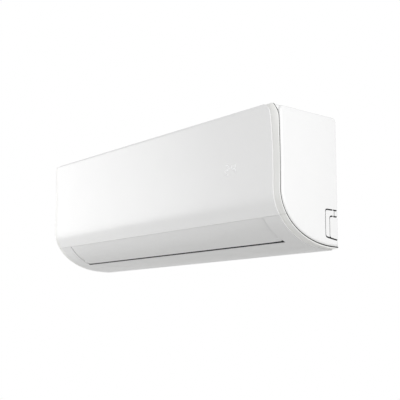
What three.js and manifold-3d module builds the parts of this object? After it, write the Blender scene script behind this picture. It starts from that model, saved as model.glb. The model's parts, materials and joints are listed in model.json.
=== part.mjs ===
// Wall-hung indoor unit of a split air conditioner, in millimetres.
// The wall is the plane y = 0, the front faces -Y, +X is the end with the fan motor, +Z is up.
// Heights are written from the underside of the unit; the group is lowered so that the origin
// lies on the wall face of the mounting plate, at the plate's centre.

import * as THREE from 'three';
import { mergeVertices } from 'three/addons/utils/BufferGeometryUtils.js';
import Module from 'manifold-3d';

const wasm = await Module();
wasm.setup();

// Driving dimensions

const unit = {
  endFace: 430, // half of the overall width
  gap: 0.3, // between pieces that touch on the real unit
  seam: 0.6, // visible line between two neighbouring covers
  cutOver: 5, // how far a cutting body runs past what it cuts
};

// Section of the visible skin, seen from the end: lip, top corner, face, belly, sole.
// Depths are measured forwards from the wall.
const overallHeight = 288;
// How far each of these lies below the overall height.
const below = {
  flareStart: 108, hinge: 8, grille: 1, filter: 30, rib: 33, chassis: 4,
  coilFront: 28, coilRear: 34, controlBox: 38, board: 52, plate: 44,
};
const skin = {
  top: overallHeight,
  topAtWall: overallHeight,
  corner: 7,
  lipBack: 150,
  depth: 174.4,
  flare: 9.6,
  flareStart: overallHeight - below.flareStart,
  shoulder: 116,
  toe: 14,
  bottom: 5.5,
};
const sideStep = 4.5; // how far the end covers lie inside the skin
const sideTopStep = 9; // and how far below its top, at the front and at the wall
const sideTopStepAtWall = 4;
const side = {
  top: skin.top - sideTopStep,
  topAtWall: skin.topAtWall - sideTopStepAtWall,
  corner: 13,
  lipBack: skin.lipBack,
  depth: skin.depth - sideStep,
  flare: 3.2,
  flareStart: skin.flareStart,
  shoulder: skin.shoulder,
  toe: skin.toe,
  bottom: skin.bottom + sideStep,
};
const fullTurnDeg = 360;
const fullnessShare = 2.1; // exponent of the belly's superellipse, 2 is a plain ellipse
const flareShare = 1.5; // exponent of the face's forward lean
const stepsPerPart = [1, 4, 4, 13, 1];
const cornerStart = 1; // the station at which this part of the section starts
const faceStart = 2;
const bellyStart = 3;
const lastStation = stepsPerPart.length;
const soleStation = lastStation - 1;
const stationReachShare = 0.004; // how far apart two stations are taken to find a direction
const steps = { curve: 4, round: 16, wide: 32, small: 8, hexagon: 6, elbow: 3 };

// How far each of these lies inside the panel's end, on the left and on the motor's side.
const inside = {
  chassis: 4.5, filterRib: 16.5, trimFlange: 18, filter: 19, shaft: 30, drainPan: 31, fanWall: 32.5,
  coil: 39, hingeArm: 39, ductWall: 42, frameScrew: 161,
};
const insideMotorSide = {
  terminal: 19, motor: 27, motorBand: 39, button: 40, motorBandFrom: 59, terminalFrom: 59, gasPipe: 66,
  controlBox: 69, filterRib: 76.5, liquidPipe: 78, motorFrom: 79, filter: 79, shaft: 79.3, drainPan: 81,
  fanWall: 89, coil: 93, display: 95, fan: 97, shaftFrom: 110, sensor: 125, displayFrom: 145,
  gasNut: 261, liquidNut: 281,
};
const bandWidth = 19;
const panel = {
  half: unit.endFace - bandWidth, thickness: 3, lowerEdge: 63.5, cornerRadius: 24, openGap: 0.8,
};
const panelHinge = {
  depth: skin.lipBack, height: skin.top - below.hinge, pin: 2.5, pinLength: 9.4, clearance: 0.3,
  arm: 4, armInner: panel.half - inside.hingeArm, armDrop: 12, bracketReach: 12, bracketStep: 3,
};
const trim = {
  thickness: 2.2, step: 0.8, waistShare: 0.45,
  flangeFrom: panel.half - inside.trimFlange, flangeStep: 0.4,
};
const sideCover = { wall: 2.5, backRadius: 11 };
const knockOut = {
  depth: 43, low: 30, lowAtWall: 24, high: 87, radius: 5, slot: 0.5,
  innerDepth: 30, innerHigh: 74,
};
const louverEndRoom = 2.8; // between the louver's end and the wall at the duct's end
const louver = {
  half: panel.half - inside.ductWall - louverEndRoom, lowerEdge: 19.5, thickness: 3, slit: 4,
  pivotDepth: 104, pivotHeight: 32,
};
const louverPin = { radius: 3, boss: 8.5, bossLength: 8, reach: 5, clearance: 0.35 };
const frameSize = {
  wall: 2.5, cheek: 14, cheekWidth: 4, behindPanel: 0.8,
  barTop: 92, barLow: 66, barWall: 3.5,
};
const topGrille = {
  front: 141.5, back: 9, top: skin.top - below.grille, thickness: 2.5,
  rows: 9, columns: 6, bar: 4.5, post: 9, margin: 7,
};
const filter = {
  front: 166, depth: 4, top: skin.top - below.filter, left: panel.half - inside.filter,
  right: panel.half - insideMotorSide.filter, split: 3.5,
  bar: 6, rows: 2, columns: 4,
};
const filterMesh = { thickness: 0.8, inset: 3 };
const filterMeetX = -30; // where the two filters meet
const filterRib = {
  x: [inside.filterRib - panel.half, filterMeetX, panel.half - insideMotorSide.filterRib],
  width: 3, low: 84, high: skin.top - below.rib, back: 158, tail: 6, toe: -3.5,
};
const chassis = {
  back: 6, wall: 2.5, half: panel.half - inside.chassis, top: skin.top - below.chassis,
  channelTop: 78, channelLow: 24, tabHeight: 171, ceilingLap: 5,
};
const fan = { depth: 82, height: 125, radius: 46, inner: 34, disc: 3, blades: 16 };
const fanEndRoom = 3;
const fanEnds = {
  left: inside.ductWall + fanEndRoom - panel.half, right: panel.half - insideMotorSide.fan,
};
const fanBay = { rings: 3, bladeThickness: 1.4, sweepDeg: 26, hub: 9, hubLength: 14, hubBore: 4.3 };
const scroll = { start: 49, end: 58, startDeg: 40, endDeg: -59, steps: 9 };
const fanWall = {
  radius: 50.3, thickness: 2.5, shaftHole: 12,
  left: inside.fanWall - panel.half, right: panel.half - insideMotorSide.fanWall,
};
const bearing = { radius: 14, bore: 4.3, length: 6 };
const shaft = {
  radius: 4, leftEnd: inside.shaft - panel.half, leftLength: 30,
  rightStart: panel.half - insideMotorSide.shaftFrom, rightEnd: panel.half - insideMotorSide.shaft,
};
const motor = {
  left: panel.half - insideMotorSide.motorFrom, right: panel.half - insideMotorSide.motor,
  radius: 40, round: 6, bossRadius: 14, bossLength: 4,
};
const motorBand = {
  left: panel.half - insideMotorSide.motorBandFrom, right: panel.half - insideMotorSide.motorBand,
  thickness: 2.5, foot: 16,
};
const coil = {
  left: inside.coil - panel.half, right: panel.half - insideMotorSide.coil, margin: 4, plate: 1.2,
};
const coilSplit = 178; // height where the upper front block starts above the lower one
const coilSplitGap = 8;
const coilBlocks = {
  front_lower: { footDepth: 145, footHeight: 84, headDepth: 145, headHeight: coilSplit, thickness: 18 },
  front_upper: {
    footDepth: 143, footHeight: coilSplit + coilSplitGap, headDepth: 98,
    headHeight: skin.top - below.coilFront, thickness: 18,
  },
  rear: {
    footDepth: 33, footHeight: 184, headDepth: 80, headHeight: skin.top - below.coilRear, thickness: 16,
  },
};
// How far up its block each return bend starts, and where the two pipes leave the rear block.
const bendStarts = { front_lower: [24, 62], front_upper: [10, 52], rear: [58] };
const pipeRise = { liquid: 16, gas: 38 };
const bend = { tube: 3.5, pitch: 21, leg: 3, steps: 4, sides: 6 };
const drainPan = {
  left: inside.drainPan - panel.half, right: panel.half - insideMotorSide.drainPan, wall: 3,
  nose: 100, front: 158, frontHigh: 92, floor: 82, slope: 9,
};
const drainKeel = { depth: 147, height: 66, noseDepth: 127 };
const drainSpout = { radius: 4.5, bore: 3, length: 16, depth: 147, height: 76 };
const vane = {
  count: 5, endRoom: 54, thickness: 1.8, foot: 5.7,
  pivot: -30, pin: 2, pinFoot: 0.8, swing: 14, linkPin: 1.4,
};
const vaneShape = { back: -52, front: -18, frontTop: -8, backTop: -38, step: 30, waist: 40, top: 62 };
const vaneRail = { half: 6, bottom: 0.3, top: 5.4, overhang: 20, pinClearance: 0.3 };
const linkRod = { half: 6, bottom: 0.6, top: 3.6, overhang: 9, slotHalf: 3.8, slotClearance: 0.35 };
const ductWall = { x: panel.half - inside.ductWall, thickness: 2.5, panGap: 0.8 };
const stepMotor = { length: 18, radius: 14, offsetY: 3, offsetZ: 8.5, ear: 3.5, earReach: 17.5, earWall: 1 };
const bush = { radius: 5.2, bore: 3.3, length: 4, hole: 5.5 };
const controlBox = {
  left: panel.half - insideMotorSide.controlBox, right: panel.half - frameSize.cheekWidth - unit.gap,
  front: 163, back: 127, low: 96, high: skin.top - below.controlBox, wall: 2,
};
const boxLid = { thickness: 1.7, inset: 1 };
const board = {
  thickness: 1.6, depth: 150, low: 130, high: skin.top - below.board, inset: 4,
  post: 3, postInset: 12,
};
const boardPartHeights = { transformer: 6.4, relay: 4.8, capacitor: 5.6, driver: 3.2 };
const boardPartShares = {
  transformer: { across: [0.1, 0.45], up: [0.05, 0.3] },
  relay: { across: [0.55, 0.9], up: [0.08, 0.25] },
  capacitor: { across: [0.12, 0.4], up: [0.42, 0.62] },
  driver: { across: [0.55, 0.85], up: [0.45, 0.75] },
};
const terminal = {
  left: panel.half - insideMotorSide.terminalFrom, right: panel.half - insideMotorSide.terminal,
  tall: 23, front: 152, slots: 4, slot: 5, slotDepth: 6,
};
const buttonTravel = 2;
const buttonEndRoom = 1;
const button = {
  x: panel.half - insideMotorSide.button, height: 112, radius: 3.5, front: 167,
  back: terminal.front + buttonTravel + buttonEndRoom, collar: 5.5, collarLength: 2, clearance: 0.3,
};
const display = {
  left: panel.half - insideMotorSide.displayFrom, right: panel.half - insideMotorSide.display,
  low: 150, high: 187, thickness: 3.6, rim: 1.8, windowHalf: 10,
};
const sensor = { radius: 2.5, left: panel.half - insideMotorSide.sensor, length: 28, height: 150, gap: 0.3 };
const plate = {
  half: 250, low: 44, high: skin.top - below.plate, thickness: 1.5, radius: 8,
  hole: 4, holeInset: 16, ribInset: 32, ribHeight: 10,
};
const plateHoleShares = [-1, -0.5, 0.5, 1]; // from the middle to the outermost hole
const plateRibShares = [1 / 3, 2 / 3]; // from the plate's lower edge to its upper edge
const hookRise = 6;
const hook = {
  x: 190, width: 26, height: plate.high + hookRise, thickness: 2,
  reach: 12, lip: 10, slotHigh: 14, slotSide: 3,
};
const pipeBendShare = 2; // radius of a pipe's bend over the pipe's radius
const gasPipe = {
  drop: panel.half - insideMotorSide.gasPipe, end: panel.half - insideMotorSide.gasNut,
  radius: 6.35, depth: 24, run: 54, nut: 11, nutLength: 18,
};
const liquidPipe = {
  drop: panel.half - insideMotorSide.liquidPipe, end: panel.half - insideMotorSide.liquidNut,
  radius: 3.175, depth: 13, run: 34, nut: 8, nutLength: 15,
};
const frameScrew = {
  x: panel.half - inside.frameScrew, depth: 58, head: 3.6, headLength: 1.2, recess: 1.4,
  shank: 1.6, length: 12, clearance: 0.35,
};
const lidScrew = { inset: 6, head: 3, headLength: 1.4, shank: 1.3, length: 8, clearance: 0.3 };
const originHeight = (plate.low + plate.high) / 2;

const finishes = {
  glossWhite: { color: 0xf3f3f1, roughness: 0.18, metalness: 0 },
  satinWhite: { color: 0xe9e9e6, roughness: 0.35, metalness: 0 },
  louverWhite: { color: 0xe2e2e0, roughness: 0.3, metalness: 0 },
  bandGrey: { color: 0xd9d9d5, roughness: 0.3, metalness: 0 },
  innerWhite: { color: 0xdededb, roughness: 0.5, metalness: 0 },
  darkPlastic: { color: 0x3a3c3e, roughness: 0.55, metalness: 0 },
  fanGrey: { color: 0x4a4d50, roughness: 0.5, metalness: 0 },
  aluminium: { color: 0xc3c7ca, roughness: 0.4, metalness: 1 },
  copper: { color: 0xb87345, roughness: 0.35, metalness: 1 },
  brass: { color: 0xc9a24b, roughness: 0.35, metalness: 1 },
  steel: { color: 0xb9bcc0, roughness: 0.35, metalness: 1 },
  zincSteel: { color: 0xa9adb0, roughness: 0.45, metalness: 1 },
  rubber: { color: 0x222324, roughness: 0.85, metalness: 0 },
  boardGreen: { color: 0x2f6b46, roughness: 0.5, metalness: 0 },
  meshGrey: { color: 0x8d9296, roughness: 0.7, metalness: 0 },
};

// Solids

const unitX = new THREE.Vector3(1, 0, 0);
const unitY = new THREE.Vector3(0, 1, 0);
const unitZ = new THREE.Vector3(0, 0, 1);

function point(y, z) {
  return new THREE.Vector2(y, z);
}

function toSolid(geometry) {
  const bare = geometry.clone();
  bare.deleteAttribute('normal');
  bare.deleteAttribute('uv');
  const merged = mergeVertices(bare);
  const vertProperties = Float32Array.from(merged.attributes.position.array);
  const triVerts = Uint32Array.from(merged.index.array);
  return new wasm.Manifold(new wasm.Mesh({ numProp: 3, vertProperties, triVerts }));
}

function toGeometry(solid) {
  const mesh = solid.getMesh();
  const geometry = new THREE.BufferGeometry();
  geometry.setAttribute('position', new THREE.BufferAttribute(mesh.vertProperties, 3));
  geometry.setIndex(new THREE.BufferAttribute(mesh.triVerts, 1));
  geometry.computeVertexNormals();
  return geometry;
}

function join(geometries) {
  return toGeometry(geometries.map(toSolid).reduce((sum, next) => sum.add(next)));
}

function cut(geometry, tools) {
  return toGeometry(tools.map(toSolid).reduce((rest, tool) => rest.subtract(tool), toSolid(geometry)));
}

function overlap(first, second) {
  return toGeometry(toSolid(first).intersect(toSolid(second)));
}

// A section drawn as (y, z) points, drawn out along X.
function alongX(outline, fromX, toX) {
  const shape = outline instanceof THREE.Shape ? outline : new THREE.Shape(outline);
  const geometry = new THREE.ExtrudeGeometry(shape, {
    depth: toX - fromX, bevelEnabled: false, curveSegments: steps.curve,
  });
  geometry.applyMatrix4(new THREE.Matrix4().makeBasis(unitY, unitZ, unitX));
  return geometry.translate(fromX, 0, 0);
}

// A front view drawn as (x, z) points, drawn out from the nearer depth to the farther one.
function alongDepth(outline, nearDepth, farDepth) {
  const shape = outline instanceof THREE.Shape ? outline : new THREE.Shape(outline);
  const geometry = new THREE.ExtrudeGeometry(shape, {
    depth: farDepth - nearDepth, bevelEnabled: false, curveSegments: steps.curve,
  });
  geometry.applyMatrix4(new THREE.Matrix4().makeBasis(unitX, unitZ, unitY.clone().negate()));
  return geometry.translate(0, -nearDepth, 0);
}

// A block between two corners.
function block(fromX, toX, fromY, toY, fromZ, toZ) {
  const geometry = new THREE.BoxGeometry(toX - fromX, toY - fromY, toZ - fromZ);
  return geometry.translate((fromX + toX) / 2, (fromY + toY) / 2, (fromZ + toZ) / 2);
}

// A round bar along X around the line (y, z).
function barX(radius, fromX, toX, y, z, sides = steps.round) {
  const geometry = new THREE.CylinderGeometry(radius, radius, toX - fromX, sides);
  return geometry.rotateZ(-Math.PI / 2).translate((fromX + toX) / 2, y, z);
}

// A round bar along Y around the line (x, z).
function barY(radius, x, fromY, toY, z, sides = steps.small) {
  return new THREE.CylinderGeometry(radius, radius, toY - fromY, sides).translate(x, (fromY + toY) / 2, z);
}

// A turned body along X: profile points are (radius, x), and close on the axis or on themselves.
function turnedX(profile, y, z, sides = steps.round) {
  const geometry = new THREE.LatheGeometry(profile, sides);
  return geometry.rotateZ(-Math.PI / 2).translate(0, y, z);
}

function roundedShape(corners, radius) {
  const shape = new THREE.Shape();
  corners.forEach((corner, index) => {
    const before = corners[(index + corners.length - 1) % corners.length];
    const after = corners[(index + 1) % corners.length];
    const enter = corner.clone().lerp(before, radius / corner.distanceTo(before));
    const leave = corner.clone().lerp(after, radius / corner.distanceTo(after));
    if (index === 0) shape.moveTo(enter.x, enter.y);
    else shape.lineTo(enter.x, enter.y);
    shape.quadraticCurveTo(corner.x, corner.y, leave.x, leave.y);
  });
  shape.closePath();
  return shape;
}

function rectangle(left, right, low, high) {
  return [point(left, low), point(right, low), point(right, high), point(left, high)];
}

// A piece is drawn for the motor end, sign 1; sign -1 gives its mirror image at the other end.
function mirrored(geometry, sign) {
  if (sign > 0) return geometry;
  const flipped = mergeVertices(geometry).scale(-1, 1, 1);
  const corners = Array.from(flipped.index.array);
  for (let first = 0; first < corners.length; first += 3) {
    [corners[first], corners[first + 2]] = [corners[first + 2], corners[first]];
  }
  flipped.setIndex(corners);
  flipped.computeVertexNormals();
  return flipped;
}

// Skin: every outer cover is a strip of one section, addressed by a station along it.
// Station 0 to 1 is the lip, 1 to 2 the top corner, 2 to 3 the face, 3 to 4 the belly, 4 to 5 the sole.

function topHeight(spec, y) {
  return spec.topAtWall + (spec.top - spec.topAtWall) * (-y / spec.depth);
}

function faceDepth(spec, height) {
  const lean = Math.max(0, (height - spec.flareStart) / (spec.top - spec.flareStart));
  return spec.depth + spec.flare * lean ** flareShare;
}

function skinPoint(spec, station) {
  const cornerHeight = spec.top - spec.corner;
  const cornerY = spec.corner - faceDepth(spec, cornerHeight);
  if (station < cornerStart) {
    return point(-spec.lipBack, topHeight(spec, -spec.lipBack)).lerp(point(cornerY, spec.top), station);
  }
  if (station < faceStart) {
    const angle = (station - cornerStart) * (Math.PI / 2);
    return point(cornerY - spec.corner * Math.sin(angle), cornerHeight + spec.corner * Math.cos(angle));
  }
  if (station < bellyStart) {
    const height = THREE.MathUtils.lerp(cornerHeight, spec.shoulder, station - faceStart);
    return point(-faceDepth(spec, height), height);
  }
  if (station < soleStation) {
    const angle = (station - bellyStart) * (Math.PI / 2);
    const forward = (spec.depth - spec.toe) * Math.cos(angle) ** (2 / fullnessShare);
    const drop = (spec.shoulder - spec.bottom) * Math.sin(angle) ** (2 / fullnessShare);
    return point(-spec.toe - forward, spec.shoulder - drop);
  }
  return point(-spec.toe * (lastStation - station), spec.bottom);
}

// The inward direction, square to the skin.
function skinNormal(spec, station) {
  const before = skinPoint(spec, Math.max(0, station - stationReachShare));
  const after = skinPoint(spec, Math.min(lastStation, station + stationReachShare));
  const along = after.sub(before).normalize();
  return point(-along.y, along.x);
}

function insetPoint(spec, station, inset) {
  return skinPoint(spec, station).addScaledVector(skinNormal(spec, station), inset);
}

function faceStation(spec, height) {
  return faceStart + (spec.top - spec.corner - height) / (spec.top - spec.corner - spec.shoulder);
}

function bellyStation(spec, height) {
  const dropShare = (spec.shoulder - height) / (spec.shoulder - spec.bottom);
  return bellyStart + Math.asin(dropShare ** (fullnessShare / 2)) / (Math.PI / 2);
}

function stationAfter(spec, station, distance) {
  const reached = skinPoint(spec, station + stationReachShare);
  const speed = reached.distanceTo(skinPoint(spec, station)) / stationReachShare;
  return station + distance / speed;
}

function stationsBetween(from, to) {
  const stations = [from];
  stepsPerPart.forEach((partSteps, part) => {
    for (let step = 0; step < partSteps; step += 1) {
      const station = part + step / partSteps;
      if (station > from && station < to) stations.push(station);
    }
  });
  return [...stations, to];
}

function strip(spec, from, to, inset, thickness) {
  const stations = stationsBetween(from, to);
  const outer = stations.map((station) => insetPoint(spec, station, inset));
  const inner = stations.map((station) => insetPoint(spec, station, inset + thickness));
  return [...outer, ...inner.reverse()];
}

// A closed body through rings of equal count, each an outline at its own x.
function loft(rings) {
  const count = rings[0].outline.length;
  const positions = rings.flatMap(({ x, outline }) => outline.flatMap((corner) => [x, corner.x, corner.y]));
  const index = [];
  for (let ring = 0; ring < rings.length - 1; ring += 1) {
    for (let corner = 0; corner < count; corner += 1) {
      const next = (corner + 1) % count;
      const a = ring * count + corner;
      const b = ring * count + next;
      index.push(a, b, b + count, a, b + count, a + count);
    }
  }
  const last = (rings.length - 1) * count;
  THREE.ShapeUtils.triangulateShape(rings[0].outline, []).forEach(([a, b, c]) => index.push(c, b, a));
  THREE.ShapeUtils.triangulateShape(rings.at(-1).outline, [])
    .forEach(([a, b, c]) => index.push(last + a, last + b, last + c));
  const geometry = new THREE.BufferGeometry();
  geometry.setAttribute('position', new THREE.Float32BufferAttribute(positions, 3));
  geometry.setIndex(index);
  geometry.computeVertexNormals();
  return geometry;
}

const panelEnd = bellyStation(skin, panel.lowerEdge);
const louverStart = stationAfter(skin, panelEnd, panel.openGap);
const louverEnd = bellyStation(skin, louver.lowerEdge);
const lipStart = stationAfter(skin, louverEnd, louver.slit);

// Outlet duct: its floor runs from the end of the fan's scroll to the front lip.
// u runs along the floor towards the outlet, v stands square to it.

const floorEnd = insetPoint(skin, lipStart, frameSize.wall + panel.openGap + chassis.wall / 2)
  .add(point(chassis.wall, 0));
const scrollEndAngle = THREE.MathUtils.degToRad(scroll.endDeg);
const floorStart = point(
  -fan.depth + scroll.end * Math.cos(scrollEndAngle),
  fan.height + scroll.end * Math.sin(scrollEndAngle),
);
const floorAlong = floorEnd.clone().sub(floorStart).normalize();
const floorUp = point(floorAlong.y, -floorAlong.x);

const panKeel = point(-drainKeel.depth, drainKeel.height);
const panNose = point(-drainKeel.noseDepth, drainPan.frontHigh);

function onFloor(u, v) {
  return floorEnd.clone().addScaledVector(floorAlong, u).addScaledVector(floorUp, v);
}

// A round bar standing on the duct's floor.
function barOnFloor(radius, x, u, low, high, sides = steps.small) {
  const centre = onFloor(u, (low + high) / 2);
  return new THREE.CylinderGeometry(radius, radius, high - low, sides)
    .rotateX(Math.atan2(floorUp.y, floorUp.x))
    .translate(x, centre.x, centre.y);
}

// A bar along X resting on the duct's floor.
function railOnFloor(halfWidth, middle, low, high, fromX, toX) {
  const left = middle - halfWidth;
  const right = middle + halfWidth;
  const corners = [onFloor(left, low), onFloor(right, low), onFloor(right, high), onFloor(left, high)];
  return alongX(corners, fromX, toX);
}

// Front panel: the skin from the lip to the lower edge, with rounded upper corners.

function frontPanel() {
  const face = alongX(strip(skin, 0, panelEnd, 0, panel.thickness), -panel.half, panel.half);
  const lowBelow = -skin.top;
  const front = roundedShape(rectangle(-panel.half, panel.half, lowBelow, skin.top), panel.cornerRadius);
  const rounded = overlap(face, alongDepth(front, 0, skin.depth + skin.flare + unit.cutOver));
  const arms = [-1, 1].map((sign) => mirrored(panelArm(), sign));
  return join([rounded, ...arms]);
}

// The arm carries the hinge pin outwards, and is moulded on the panel's inside.
function panelArm() {
  const hinge = point(-panelHinge.depth, panelHinge.height);
  const eye = skin.top - panel.thickness - panelHinge.height;
  const wallMiddle = panel.thickness / 2;
  const rootTop = skin.top - wallMiddle;
  const rootLow = panelHinge.height - panelHinge.armDrop;
  const root = wallMiddle - faceDepth(skin, rootLow);
  const web = [
    point(root, rootLow),
    point(hinge.x, hinge.y - eye + unit.gap),
    point(hinge.x, rootTop),
    point(root, rootTop),
  ];
  const from = panelHinge.armInner;
  const to = from + panelHinge.arm;
  return join([
    alongX(web, from, to),
    barX(eye, from, to, hinge.x, hinge.y),
    barX(panelHinge.pin, from, from + panelHinge.pinLength, hinge.x, hinge.y),
  ]);
}

// End trims: a band that falls from the panel's edge to the end cover.

function trimRing(from, to, x, share) {
  const stations = stationsBetween(from, to);
  const level = (station, inset) => {
    const inner = insetPoint(skin, station, trim.step + inset);
    const outer = insetPoint(side, station, inset - unit.seam - trim.thickness);
    return inner.lerp(outer, share);
  };
  const outer = stations.map((station) => level(station, 0));
  const inner = stations.map((station) => level(station, trim.thickness));
  return { x, outline: [...outer, ...inner.reverse()] };
}

function trimBand(from, to) {
  const innerX = panel.half + unit.seam;
  const outerX = unit.endFace - unit.seam;
  return [
    trimRing(from, to, innerX, 0),
    trimRing(from, to, THREE.MathUtils.lerp(innerX, outerX, trim.waistShare), trim.waistShare ** 2),
    trimRing(from, to, outerX, 1),
  ];
}

function panelTrim(sign) {
  const flangeInset = panel.thickness + trim.flangeStep;
  const flange = strip(skin, 0, panelEnd, flangeInset, trim.thickness);
  const rings = [
    { x: trim.flangeFrom, outline: flange },
    { x: panel.half + unit.gap, outline: flange },
    ...trimBand(0, panelEnd),
  ];
  return mirrored(loft(rings), sign);
}

function lowerTrim(sign) {
  const nearWall = stationAfter(skin, soleStation, skin.toe - frameSize.wall);
  return mirrored(loft(trimBand(louverStart, nearWall)), sign);
}

// End covers, with the pipe knock-outs cut from them.

function sideOutline(inset) {
  const stations = stationsBetween(0, lastStation).slice(1, -1);
  const front = stations.map((station) => insetPoint(side, station, inset));
  const backLow = point(-inset, side.bottom + inset);
  const arc = [];
  const radius = sideCover.backRadius - inset;
  const centre = point(-sideCover.backRadius, topHeight(side, 0) - sideCover.backRadius);
  const arcSteps = stepsPerPart[1];
  for (let step = 0; step <= arcSteps; step += 1) {
    const angle = (step / arcSteps) * (Math.PI / 2);
    arc.push(point(centre.x + radius * Math.cos(angle), centre.y + radius * Math.sin(angle)));
  }
  return [...front, backLow, ...arc];
}

function sideTray() {
  const inner = panel.half + unit.seam + unit.gap;
  const shell = alongX(sideOutline(0), inner, unit.endFace);
  const room = alongX(sideOutline(sideCover.wall), inner - unit.cutOver, unit.endFace - sideCover.wall);
  return cut(shell, [room]);
}

function knockOutBody(depth, high, shrink) {
  const slopeShare = (knockOut.low - knockOut.lowAtWall) / knockOut.depth;
  const front = shrink - depth;
  const lowFront = knockOut.lowAtWall + slopeShare * depth + shrink;
  const corners = [
    point(front, lowFront),
    point(unit.cutOver, knockOut.lowAtWall + shrink),
    point(unit.cutOver, high - shrink),
    point(front, high - shrink),
  ];
  const inner = panel.half - unit.cutOver;
  return alongX(roundedShape(corners, knockOut.radius - shrink), inner, unit.endFace + unit.cutOver);
}

const outerSlot = knockOutBody(knockOut.depth, knockOut.high, 0);
const outerCover = knockOutBody(knockOut.depth, knockOut.high, knockOut.slot);
const innerSlot = knockOutBody(knockOut.innerDepth, knockOut.innerHigh, 0);
const innerCover = knockOutBody(knockOut.innerDepth, knockOut.innerHigh, knockOut.slot);

function endCover(sign) {
  return mirrored(cut(sideTray(), [outerSlot]), sign);
}

// Only the motor end has the second, smaller knock-out inside the first.
function pipeCover(sign) {
  const cover = overlap(sideTray(), outerCover);
  return sign > 0 ? cut(cover, [innerSlot]) : mirrored(cover, sign);
}

function pipeCoverInner() {
  return overlap(sideTray(), innerCover);
}

// Front frame: cheeks, top grille, filter bar, filter ribs, louver corners and bottom lip.

const hingePoint = point(-panelHinge.depth, panelHinge.height);
const grilleLow = topGrille.top - topGrille.thickness;
const soleEnd = stationAfter(skin, soleStation, skin.toe - frameSize.wall / 2);
const barInset = panel.thickness + frameSize.behindPanel;
const underFlange = barInset + trim.flangeStep + trim.thickness;
const barStart = bellyStation(skin, frameSize.barTop);
const filterLow = insetPoint(skin, barStart, underFlange + frameSize.wall).y + unit.gap;

function topPlate() {
  const sheet = block(-panel.half, panel.half, -topGrille.front, -topGrille.back, grilleLow, topGrille.top);
  const left = filterRib.x[0];
  const columnPitch = (panelHinge.armInner - left) / topGrille.columns;
  const rowStart = -topGrille.front + topGrille.margin;
  const rowPitch = (topGrille.front - topGrille.back - 2 * topGrille.margin) / topGrille.rows;
  const openings = [];
  for (let column = 0; column < topGrille.columns; column += 1) {
    for (let row = 0; row < topGrille.rows; row += 1) {
      const x = left + column * columnPitch + topGrille.post / 2;
      const y = rowStart + row * rowPitch + topGrille.bar / 2;
      openings.push(block(
        x, x + columnPitch - topGrille.post, y, y + rowPitch - topGrille.bar,
        grilleLow - unit.cutOver, topGrille.top + unit.cutOver,
      ));
    }
  }
  return cut(sheet, openings);
}

// The same upright carries a filter's edge and, at the ends, the cheek's head.
function uprightOutline(front) {
  const middle = grilleLow + topGrille.thickness / 2;
  return [
    point(-filterRib.back, filterRib.low),
    point(-filterRib.back, filterRib.high),
    point(filterRib.tail - topGrille.front, middle),
    point(-topGrille.front, middle),
    point(-front, filterRib.high),
    point(-front, frameSize.barTop + filterRib.tail),
    point(filterRib.toe - filterRib.back, filterRib.low),
  ];
}

function filterRibs() {
  const half = filterRib.width / 2;
  return filterRib.x.map((x) => alongX(uprightOutline(filter.front), x - half, x + half));
}

function hingeBracket() {
  const from = panelHinge.armInner + panelHinge.arm + 2 * unit.gap;
  const to = panelHinge.armInner + panelHinge.pinLength - unit.gap;
  const eye = skin.top - panel.thickness - panelHinge.height - unit.gap;
  const low = hingePoint.y - eye;
  const top = grilleLow + topGrille.thickness / 2;
  const web = [
    point(hingePoint.x, low),
    point(panelHinge.bracketReach - topGrille.front, low),
    point(panelHinge.bracketReach - topGrille.front, top),
    point(panelHinge.bracketStep - topGrille.front, top),
    point(-topGrille.front, hingePoint.y + panelHinge.clearance),
    point(hingePoint.x, hingePoint.y + panelHinge.clearance),
  ];
  const body = join([alongX(web, from, to), barX(eye, from, to, hingePoint.x, hingePoint.y)]);
  const hole = panelHinge.pin + panelHinge.clearance;
  return cut(body, [barX(hole, from - unit.cutOver, to + unit.cutOver, hingePoint.x, hingePoint.y)]);
}

function frontFrame() {
  const cheekX = panel.half - frameSize.cheekWidth;
  const barEnd = bellyStation(skin, frameSize.barLow);
  const barHalf = trim.flangeFrom - unit.seam;
  const upperCheek = strip(skin, faceStation(skin, filterRib.high), louverEnd, underFlange, frameSize.cheek);
  const lowerCheek = strip(skin, louverStart, soleEnd, 0, underFlange + frameSize.cheek);
  const corner = strip(skin, louverStart, lipStart, 0, frameSize.wall);
  const backBar = strip(skin, barStart, bellyStation(skin, filterRib.low), underFlange, frameSize.wall);
  const oneSide = [
    alongX(upperCheek, cheekX, panel.half),
    alongX(lowerCheek, cheekX, panel.half),
    alongX(uprightOutline(filter.front), cheekX, panel.half),
    alongX(corner, louver.half + panel.openGap, panel.half),
    hingeBracket(),
  ];
  const across = [
    topPlate(),
    alongX(strip(skin, barStart, barEnd, barInset, frameSize.barWall), -barHalf, barHalf),
    alongX(backBar, -panel.half, panel.half),
    alongX(strip(skin, lipStart, soleEnd, 0, frameSize.wall), -panel.half, panel.half),
    ...filterRibs(),
  ];
  const pairs = oneSide.flatMap((geometry) => [geometry, mirrored(geometry, -1)]);
  const holes = frameScrewHoles(frameScrew.shank + frameScrew.clearance);
  return cut(join([...across, ...pairs]), [...holes, ...frameScrewRecesses()]);
}

// Screws under the bottom lip hold the frame to the chassis.

const screwForwardShare = (frameScrew.depth - skin.toe) / (skin.depth - skin.toe);
const screwStation = bellyStart + Math.acos(screwForwardShare ** (fullnessShare / 2)) / (Math.PI / 2);
const screwBase = skinPoint(skin, screwStation);

function screwBar(x, radius, low, high) {
  return new THREE.CylinderGeometry(radius, radius, high - low, steps.small)
    .rotateX(Math.PI / 2)
    .translate(x, screwBase.x, (low + high) / 2);
}

function frameScrewHoles(radius) {
  const low = screwBase.y - unit.cutOver;
  const high = screwBase.y + frameScrew.length;
  return [-1, 1].map((sign) => screwBar(sign * frameScrew.x, radius, low, high));
}

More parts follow.
